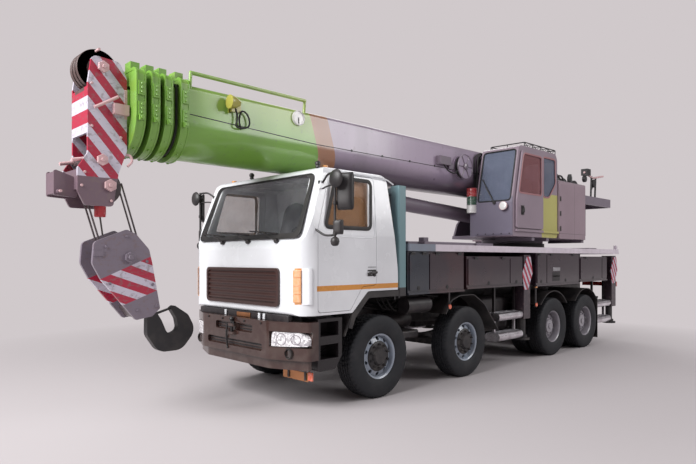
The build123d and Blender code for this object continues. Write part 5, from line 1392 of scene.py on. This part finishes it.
def rope_guide():
    """Posts on the tail ledge with swinging arms that lead the rope on to the drums."""
    posts = [tube([(x, 0.86, 3.15), (x - 0.04, 0.86, 3.66)], 0.020, 10) for x in (-5.20, -5.42)]
    cross = tube([(-4.82, 0.88, 3.70), (-5.30, 0.86, 3.62), (-5.76, 0.90, 3.70)], 0.022, 10)
    brace = tube([(-5.20, 0.86, 3.30), (-5.46, 0.86, 3.62)], 0.012, 8)
    head = boxes([(-5.02, -4.84, 0.80, 0.94, 3.64, 3.78)])
    wheels = [disc("y", (x, 0.87, z), r, -0.03, 0.03, 24, 0.006) for x, z,
              r in ((-4.86, 3.56, 0.07), (-5.32, 3.50, 0.09))]
    return merged(*posts, brace, head, *wheels), cross


for number, x in (("1", -5.0), ("2", -5.56)):
    piece("winch_rope_" + number, drum_rope(x), rope, "superstructure", 60)
piece("housing_top_gear", housing_top(), cast, "superstructure", 40)
guide, cross = rope_guide()
piece("rope_guide", guide, cast, "superstructure", 40)
piece("rope_guide_arm", cross, pink, "superstructure", 40)


# ---------------------------------------------------------------- boom
COLLARS = [("boom_base", 4.400, 4.500), ("boom_section_2", 4.600, 4.690), ("boom_section_3", 4.750, 4.840),
           ("boom_section_4", 4.910, 5.010)]


def boom_outline(half, top, bend, steps=24):
    """The boom's section across x: upright sides that turn into a flat top with rounded corners, and a
    half-round
    underside about the boom's axis height. It runs anticlockwise seen from the front."""
    turn = np.linspace(np.pi, 2 * np.pi, steps)
    under = np.column_stack([half * np.cos(turn), BOOM_AXIS + half * np.sin(turn)])
    quarter = np.linspace(0, np.pi / 2, 7)
    right = np.column_stack([half - bend + bend * np.cos(quarter), top - bend + bend * np.sin(quarter)])
    left = right[::-1] * (-1, 1)
    return np.vstack([under, right, left])


def section_band(half, top, bend, x0, x1, inner):
    """A ring that follows the section from x0 to x1, between its outline and one that is smaller by
    inner."""
    outside = boom_outline(half, top, bend)
    inside = boom_outline(half - inner, top - inner, bend - inner * 0.5)
    rows = [np.column_stack([np.full(len(o), x), o]) for x,
            o in ((x0, outside), (x1, outside), (x1, inside), (x0, inside))]
    return grid(np.stack(rows, 1)[:, ::-1], close_u=True, close_v=True)


def collar_fittings(x0, x1):
    """Bright lips at a collar's edges, its pad adjusters with bolts on both flanks and below, and brackets
    on top."""
    lips = merged(section_band(0.428, 3.848, 0.085, x1 - 0.014, x1 + 0.004, 0.03),
                  section_band(0.426, 3.846, 0.085, x0 - 0.004, x0 + 0.012, 0.03))
    middle = (x0 + x1) / 2
    rows = (3.62, 3.40)
    pads = boxes([(middle - 0.034, middle + 0.034, 0.415, 0.442, z - 0.075, z + 0.075) for z in rows])
    bolts = studs("y", [(middle, 0.442, z + d) for z in rows for d in (-0.045, 0.0, 0.045)], 0.014,
                  0.014)
    brackets = boxes([(middle - 0.020, middle + 0.030, 0.43, 0.462, 3.275, 3.335)])
    pin = disc("y", (middle, 0.462, 3.305), 0.020, -0.02, 0.012, 14, 0.003)
    turn = np.radians([-35, -55, -90])
    below = studs("z", np.column_stack([np.full(3, middle), 0.40 * np.cos(turn),
                                        BOOM_AXIS + 0.425 * np.sin(turn)]),
                  0.016, -0.016)
    return lips, both(merged(pads, bolts, brackets, pin, below))


def boom_details():
    """Weld line and cable clips along both flanks of the base section."""
    x = np.linspace(4.38, -3.9, 40)
    z = 3.455 - (4.43 - x) * 0.043
    z = np.maximum(z, 3.372)
    line = tube(np.column_stack([x, np.full(40, 0.3805), z]), 0.0055, 6)
    clips = boxes([(k - 0.012, k + 0.012, 0.378, 0.390, 3.36, 3.39) for k in np.linspace(-3.4, 1.8, 9)])
    return both(merged(line, clips))


def boom_lamp():
    """Pale-yellow work lamp on the boom's left flank, on a forked bracket."""
    shell = turned("x", (3.90, 0.475, 3.665),
                   [(-0.14, 0.0), (-0.13, 0.035), (-0.07, 0.066), (0.0, 0.082), (0.012, 0.082),
                                               (0.014, 0.070), (0.004, 0.0)], 28)
    fork = boxes([(3.83, 3.87, 0.378, 0.46, 3.56, 3.60), (3.83, 3.87, 0.40, 0.43, 3.56, 3.70),
                  (3.70, 3.80, 0.379, 0.400, 3.58, 3.72)])
    return merged(shell, fork)


def boom_cable():
    """Cable from the lamp: down the flank in a loose loop to a clip and back along the weld line."""
    path = [(3.80, 0.42, 3.64), (3.76, 0.43, 3.50), (3.80, 0.425, 3.40), (3.72, 0.415, 3.385),
            (3.58, 0.420, 3.42),
            (3.60, 0.420, 3.56), (3.70, 0.415, 3.62), (3.74, 0.41, 3.50), (3.70, 0.395, 3.38)]
    return tube(rounded(path, 0.08, 6), 0.011, 8)


def angle_dial():
    """Round boom-angle dial with a raised rim."""
    rim = turned("y", (2.80, 0.378, 3.672),
                 [(0.0, 0.0), (0.0, 0.098), (0.030, 0.098), (0.034, 0.088), (0.020, 0.084),
                                             (0.018, 0.0)], 36)
    needle = boxes([(2.795, 2.805, 0.396, 0.402, 3.60, 3.68)])
    return rim, needle


REEL = (-0.90, 3.43)           # x, z of the cable reel's axle


def reel_details():
    """The cable reel: spokes and wound cable between its flanges, its hub, and the swivel guide in front
    of it."""
    x, z = REEL
    low, high = 0.394, 0.468
    ripple = 0.182 + 0.006 * np.abs(np.sin(np.linspace(0, 8 * np.pi, 37)))
    wound = np.column_stack([np.concatenate([[low], np.linspace(low, high, 37), [high]]),
                             np.concatenate([[0.150], ripple, [0.150]])])
    cable = turned("y", (x, 0.0, z), wound, 40)
    hub = turned("y", (x, 0.0, z), [(0.482, 0.0), (0.482, 0.060), (0.510, 0.056), (0.520, 0.030),
                                    (0.520, 0.0)], 28)
    spokes = [tube([(x + r * math.cos(a), 0.486, z + r * math.sin(a)) for r in (0.05, 0.20)], 0.009, 8)
              for a in np.radians(np.arange(6) * 60.0)]
    turn = np.linspace(0, 2 * np.pi, 40, endpoint=False)
    circle = np.column_stack([x + 0.212 * np.cos(turn), np.full(40, 0.483), z + 0.212 * np.sin(turn)])
    rim = tube(circle, 0.008, 8, True)
    box = boxes([(-0.50, -0.20, 0.381, 0.47, 3.41, 3.55), (-0.62, -0.50, 0.381, 0.43, 3.36, 3.46)])
    lead = tube(rounded([(-0.30, 0.45, 3.42), (-0.42, 0.47, 3.30), (-0.62, 0.47, 3.28),
                         (-0.74, 0.46, 3.40)], 0.08, 6), 0.012, 8)
    return merged(hub, *spokes, rim, box), merged(cable, lead)


for node, x0, x1 in COLLARS:
    lips, pads = collar_fittings(x0, x1)
    piece(node + "_lips", lips, green, node, 35)
    piece(node + "_pads", pads, green, node, 35)
SEALS = [("boom_base", 4.503, 0.328, 3.735), ("boom_section_2", 4.693, 0.310, 3.720),
         ("boom_section_3", 4.843, 0.275, 3.685)]
for node, x, half, top in SEALS:
    piece(node + "_wiper", section_band(half + 0.040, top + 0.045, 0.07, x + 0.012, x + 0.036, 0.040), seal,
          node, 35)
piece("boom_weld_line", boom_details(), frame_paint, "boom_base", 50)
piece("boom_work_lamp", boom_lamp(), lime, "boom_base", 40)
piece("boom_cable", boom_cable(), seal, "boom_base", 50)
dial_rim, needle = angle_dial()
piece("boom_angle_dial", dial_rim, pale_lens, "boom_base", 40)
piece("boom_angle_needle", needle, cast, "boom_base", 30)
reel, cable = reel_details()
piece("cable_reel", reel, mauve, "boom_base", 40)
piece("cable_reel_cable", cable, seal, "boom_base", 60)


# ---------------------------------------------------------------- head and hook block
def head_fittings():
    """Nuts on the sheave pins, bolts down the side plates, the block and bracket on each flank, and the
    rope guard."""
    nuts = []
    for x, z, r in ((5.286, 3.808, 0.040), (5.297, 2.839, 0.040), (5.215, 2.580, 0.045)):
        nuts.append(disc("y", (x, 0.258, z), r + 0.022, -0.024, 0.010, 6, 0.004))
        nuts.append(disc("y", (x, 0.262, z), r * 0.5, 0.0, 0.022, 16, 0.003))
    bolts = studs("y", [(5.47, 0.232, 2.70), (5.50, 0.232, 2.56), (5.40, 0.232, 3.62), (5.40, 0.232, 3.18),
                        (5.10, 0.232, 3.10), (5.20, 0.232, 2.42)], 0.016, 0.014)
    block = boxes([(5.03, 5.19, 0.232, 0.290, 3.335, 3.445)])
    bar = tube([(5.38, 0.250, 3.37), (5.14, 0.268, 3.52)], 0.017, 10)
    loop = tube(rounded([(5.045, 0.20, 2.93), (4.99, 0.22, 2.93), (4.97, 0.24, 2.86), (5.03, 0.24, 2.80)],
                        0.04, 5),
                0.014, 8)
    return both(merged(*nuts, bolts, block, bar, loop))


def tie_rods():
    """Rod ends that stand out in front of the head's tie plate, and cross bars in its bracket and at its
    top."""
    ends = [tube([(5.44, y, z), (5.58, y * 1.02, z - 0.03)], 0.020, 10) for y,
            z in ((-0.18, 2.845), (0.18, 2.845))]
    bracket = tube([(5.69, -0.21, 2.49), (5.69, 0.21, 2.49)], 0.014, 10)
    top = tube([(5.31, -0.20, 4.00), (5.31, 0.20, 4.00)], 0.014, 10)
    return merged(*ends, bracket, top)


def sheave_grooves(centre, radius, rows, width):
    """Rims of the sheaves: two flanges and a groove between them on each."""
    shapes = []
    for y in rows:
        profile = [(-width, radius * 0.55), (-width, radius), (-width * 0.6, radius + 0.004),
                   (0.0, radius - 0.022),
                   (width * 0.6, radius + 0.004), (width, radius), (width, radius * 0.55)]
        shapes.append(turned("y", (centre[0], y, centre[1]), profile, 48))
    return merged(*shapes)


def rope_weight():
    """Red switch weight on the rope below the head."""
    drum = turned("z", (5.228, 0.0, 2.330),
                  [(-0.070, 0.0), (-0.070, 0.052), (-0.060, 0.060), (0.060, 0.060),
                                             (0.070, 0.050), (0.070, 0.0)], 28)
    return drum


def switch_lines():
    """The weight's lines: one up to the head and one down to the block."""
    rod_path = tube([(5.225, 0.0, 2.40), (5.226, 0.0, 2.56)], 0.012, 8)
    chain = tube([(5.228, 0.0, 2.26), (5.20, 0.0, 2.06)], 0.010, 8)
    return merged(rod_path, chain)


def block_fittings():
    """Nuts on the hook block's pin, bolts round its cheeks and a small plate on each cheek."""
    ax, az = -0.42203, -0.90658
    def at(along_block, across_block):
        return (5.070 + ax * along_block - az * across_block, 2.050 + az * along_block + ax * across_block)
    cx, cz = at(0.240, 0.020)
    nuts = [disc("y", (cx, 0.212, cz), 0.062, -0.02, 0.016, 6, 0.004),
            disc("y", (cx, 0.215, cz), 0.028, 0.0, 0.03, 16, 0.004)]
    spots = [at(a, c) for a, c in ((0.02, -0.05), (0.03, 0.20), (0.36, -0.14), (0.40, 0.33), (0.62, -0.09),
                                   (0.80, 0.18),
                                   (0.86, -0.03))]
    bolts = studs("y", [(x, 0.190, z) for x, z in spots], 0.018, 0.016)
    px, pz = at(0.06, 0.30)
    plate = boxes([(px - 0.05, px + 0.05, 0.19, 0.20, pz - 0.03, pz + 0.03)])
    return both(merged(*nuts, bolts, plate))


piece("head_fittings", head_fittings(), pink, "boom_section_5", 35)
piece("head_rods", tie_rods(), pink, "boom_section_5", 40)
piece("top_sheave_rims", sheave_grooves((5.286, 3.808), 0.215, (-0.075, 0.0, 0.075), 0.030), sheave_dark,
      "boom_section_5", 40)
piece("switch_weight", rope_weight(), red_paint, "hook_block", 40)
piece("switch_link", switch_lines(), rope, "hook_block", 40)
piece("block_fittings", block_fittings(), grey_paint, "hook_block", 35)


# ---------------------------------------------------------------- stage, light and camera
BACKDROP = (208, 201, 203)
FLOOR_TONE = (186, 180, 182)
AMBIENT = 0.4
# name, place, size, power
LAMPS = [
    ("key", (14.0, 0.0, 9.5), 9.0, 3200.0),
    ("side", (-8.0, 13.0, 9.0), 8.0, 1150.0),
    ("rim", (-9.0, -9.0, 10.0), 8.0, 500.0),
]
# the floor takes light and shadow up to the first radius, the backdrop's tone from the second
CLEAR_FLOOR = (4.5, 9.5)


def seen(f):
    """1 for what the camera sees, straight or in a mirror or through glass; 0 for light on its way to a
    surface."""
    ray = f.node("ShaderNodeLightPath").outputs
    straight = f.math("MAXIMUM", ray["Is Camera Ray"], ray["Is Glossy Ray"])
    return f.math("MAXIMUM", straight, ray["Is Transmission Ray"])


def studio():
    """A pale floor that fades into a backdrop of its own tone, a broad lamp before the crane's front and
    weaker ones
    beside and behind it, and a camera at its front left."""
    f = Finish("studio_floor", roughness=0.85)
    f.put(f.shader.inputs["Base Color"], FLOOR_TONE)
    reach = f.math("SQRT", f.plus(f.times(f.x, f.x), f.times(f.y, f.y)))
    plain = f.node("ShaderNodeEmission", Color=BACKDROP)
    shown = f.times(f.step(reach, *CLEAR_FLOOR), seen(f))
    blend = f.node("ShaderNodeMixShader", Fac=shown)
    f.tree.links.new(f.shader.outputs[0], blend.inputs[1])
    f.tree.links.new(plain.outputs[0], blend.inputs[2])
    f.tree.links.new(blend.outputs[0], f.tree.nodes["Material Output"].inputs["Surface"])
    radius = np.array([0.01, 6.0, 12.0, 18.0, 26.0, 60.0])
    angle = np.linspace(0, 2 * np.pi, 48, endpoint=False)
    rows = np.stack(np.broadcast_arrays(radius[:, None] * np.cos(angle), radius[:, None] * np.sin(angle),
                                        0.0), -1)
    points, faces = grid(rows, close_v=True)
    mesh = bpy.data.meshes.new("studio_floor")
    mesh.from_pydata(points.tolist(), [], faces)
    mesh.materials.append(f.material)
    floor = bpy.data.objects.new("studio_floor", mesh)
    bpy.context.scene.collection.objects.link(floor)

    world = bpy.data.worlds.new("studio")
    bpy.context.scene.world = world
    world.use_nodes = True
    tree = world.node_tree
    back = tree.nodes["Background"]
    back.inputs["Color"].default_value = colour(*BACKDROP)
    ray = tree.nodes.new("ShaderNodeLightPath")
    level = tree.nodes.new("ShaderNodeMapRange")
    most = tree.nodes.new("ShaderNodeMath")
    most.operation = "MAXIMUM"
    tree.links.new(ray.outputs["Is Camera Ray"], most.inputs[0])
    tree.links.new(ray.outputs["Is Transmission Ray"], most.inputs[1])
    tree.links.new(most.outputs[0], level.inputs["Value"])
    level.inputs["To Min"].default_value = AMBIENT
    level.inputs["To Max"].default_value = 1.0
    tree.links.new(level.outputs[0], back.inputs["Strength"])

    for name, place, size, power in LAMPS:
        data = bpy.data.lights.new(name, "AREA")
        data.energy, data.size = power, size
        lamp = bpy.data.objects.new(name, data)
        lamp.location = place
        lamp.rotation_euler = (Vector((0, 0, 1.5)) - Vector(place)).to_track_quat("-Z", "Y").to_euler()
        bpy.context.scene.collection.objects.link(lamp)

    data = bpy.data.cameras.new("camera")
    data.lens, data.shift_y = 29.79, 0.0388
    data.clip_end = 200.0
    camera = bpy.data.objects.new("camera", data)
    camera.location = (7.629, 6.319, 1.809)
    turn = math.radians(45.9)
    aim = Vector((-math.cos(turn), -math.sin(turn), 0.0))
    camera.rotation_euler = aim.to_track_quat("-Z", "Y").to_euler()
    bpy.context.scene.collection.objects.link(camera)
    bpy.context.scene.camera = camera
    bpy.context.scene.view_settings.view_transform = "Standard"


studio()
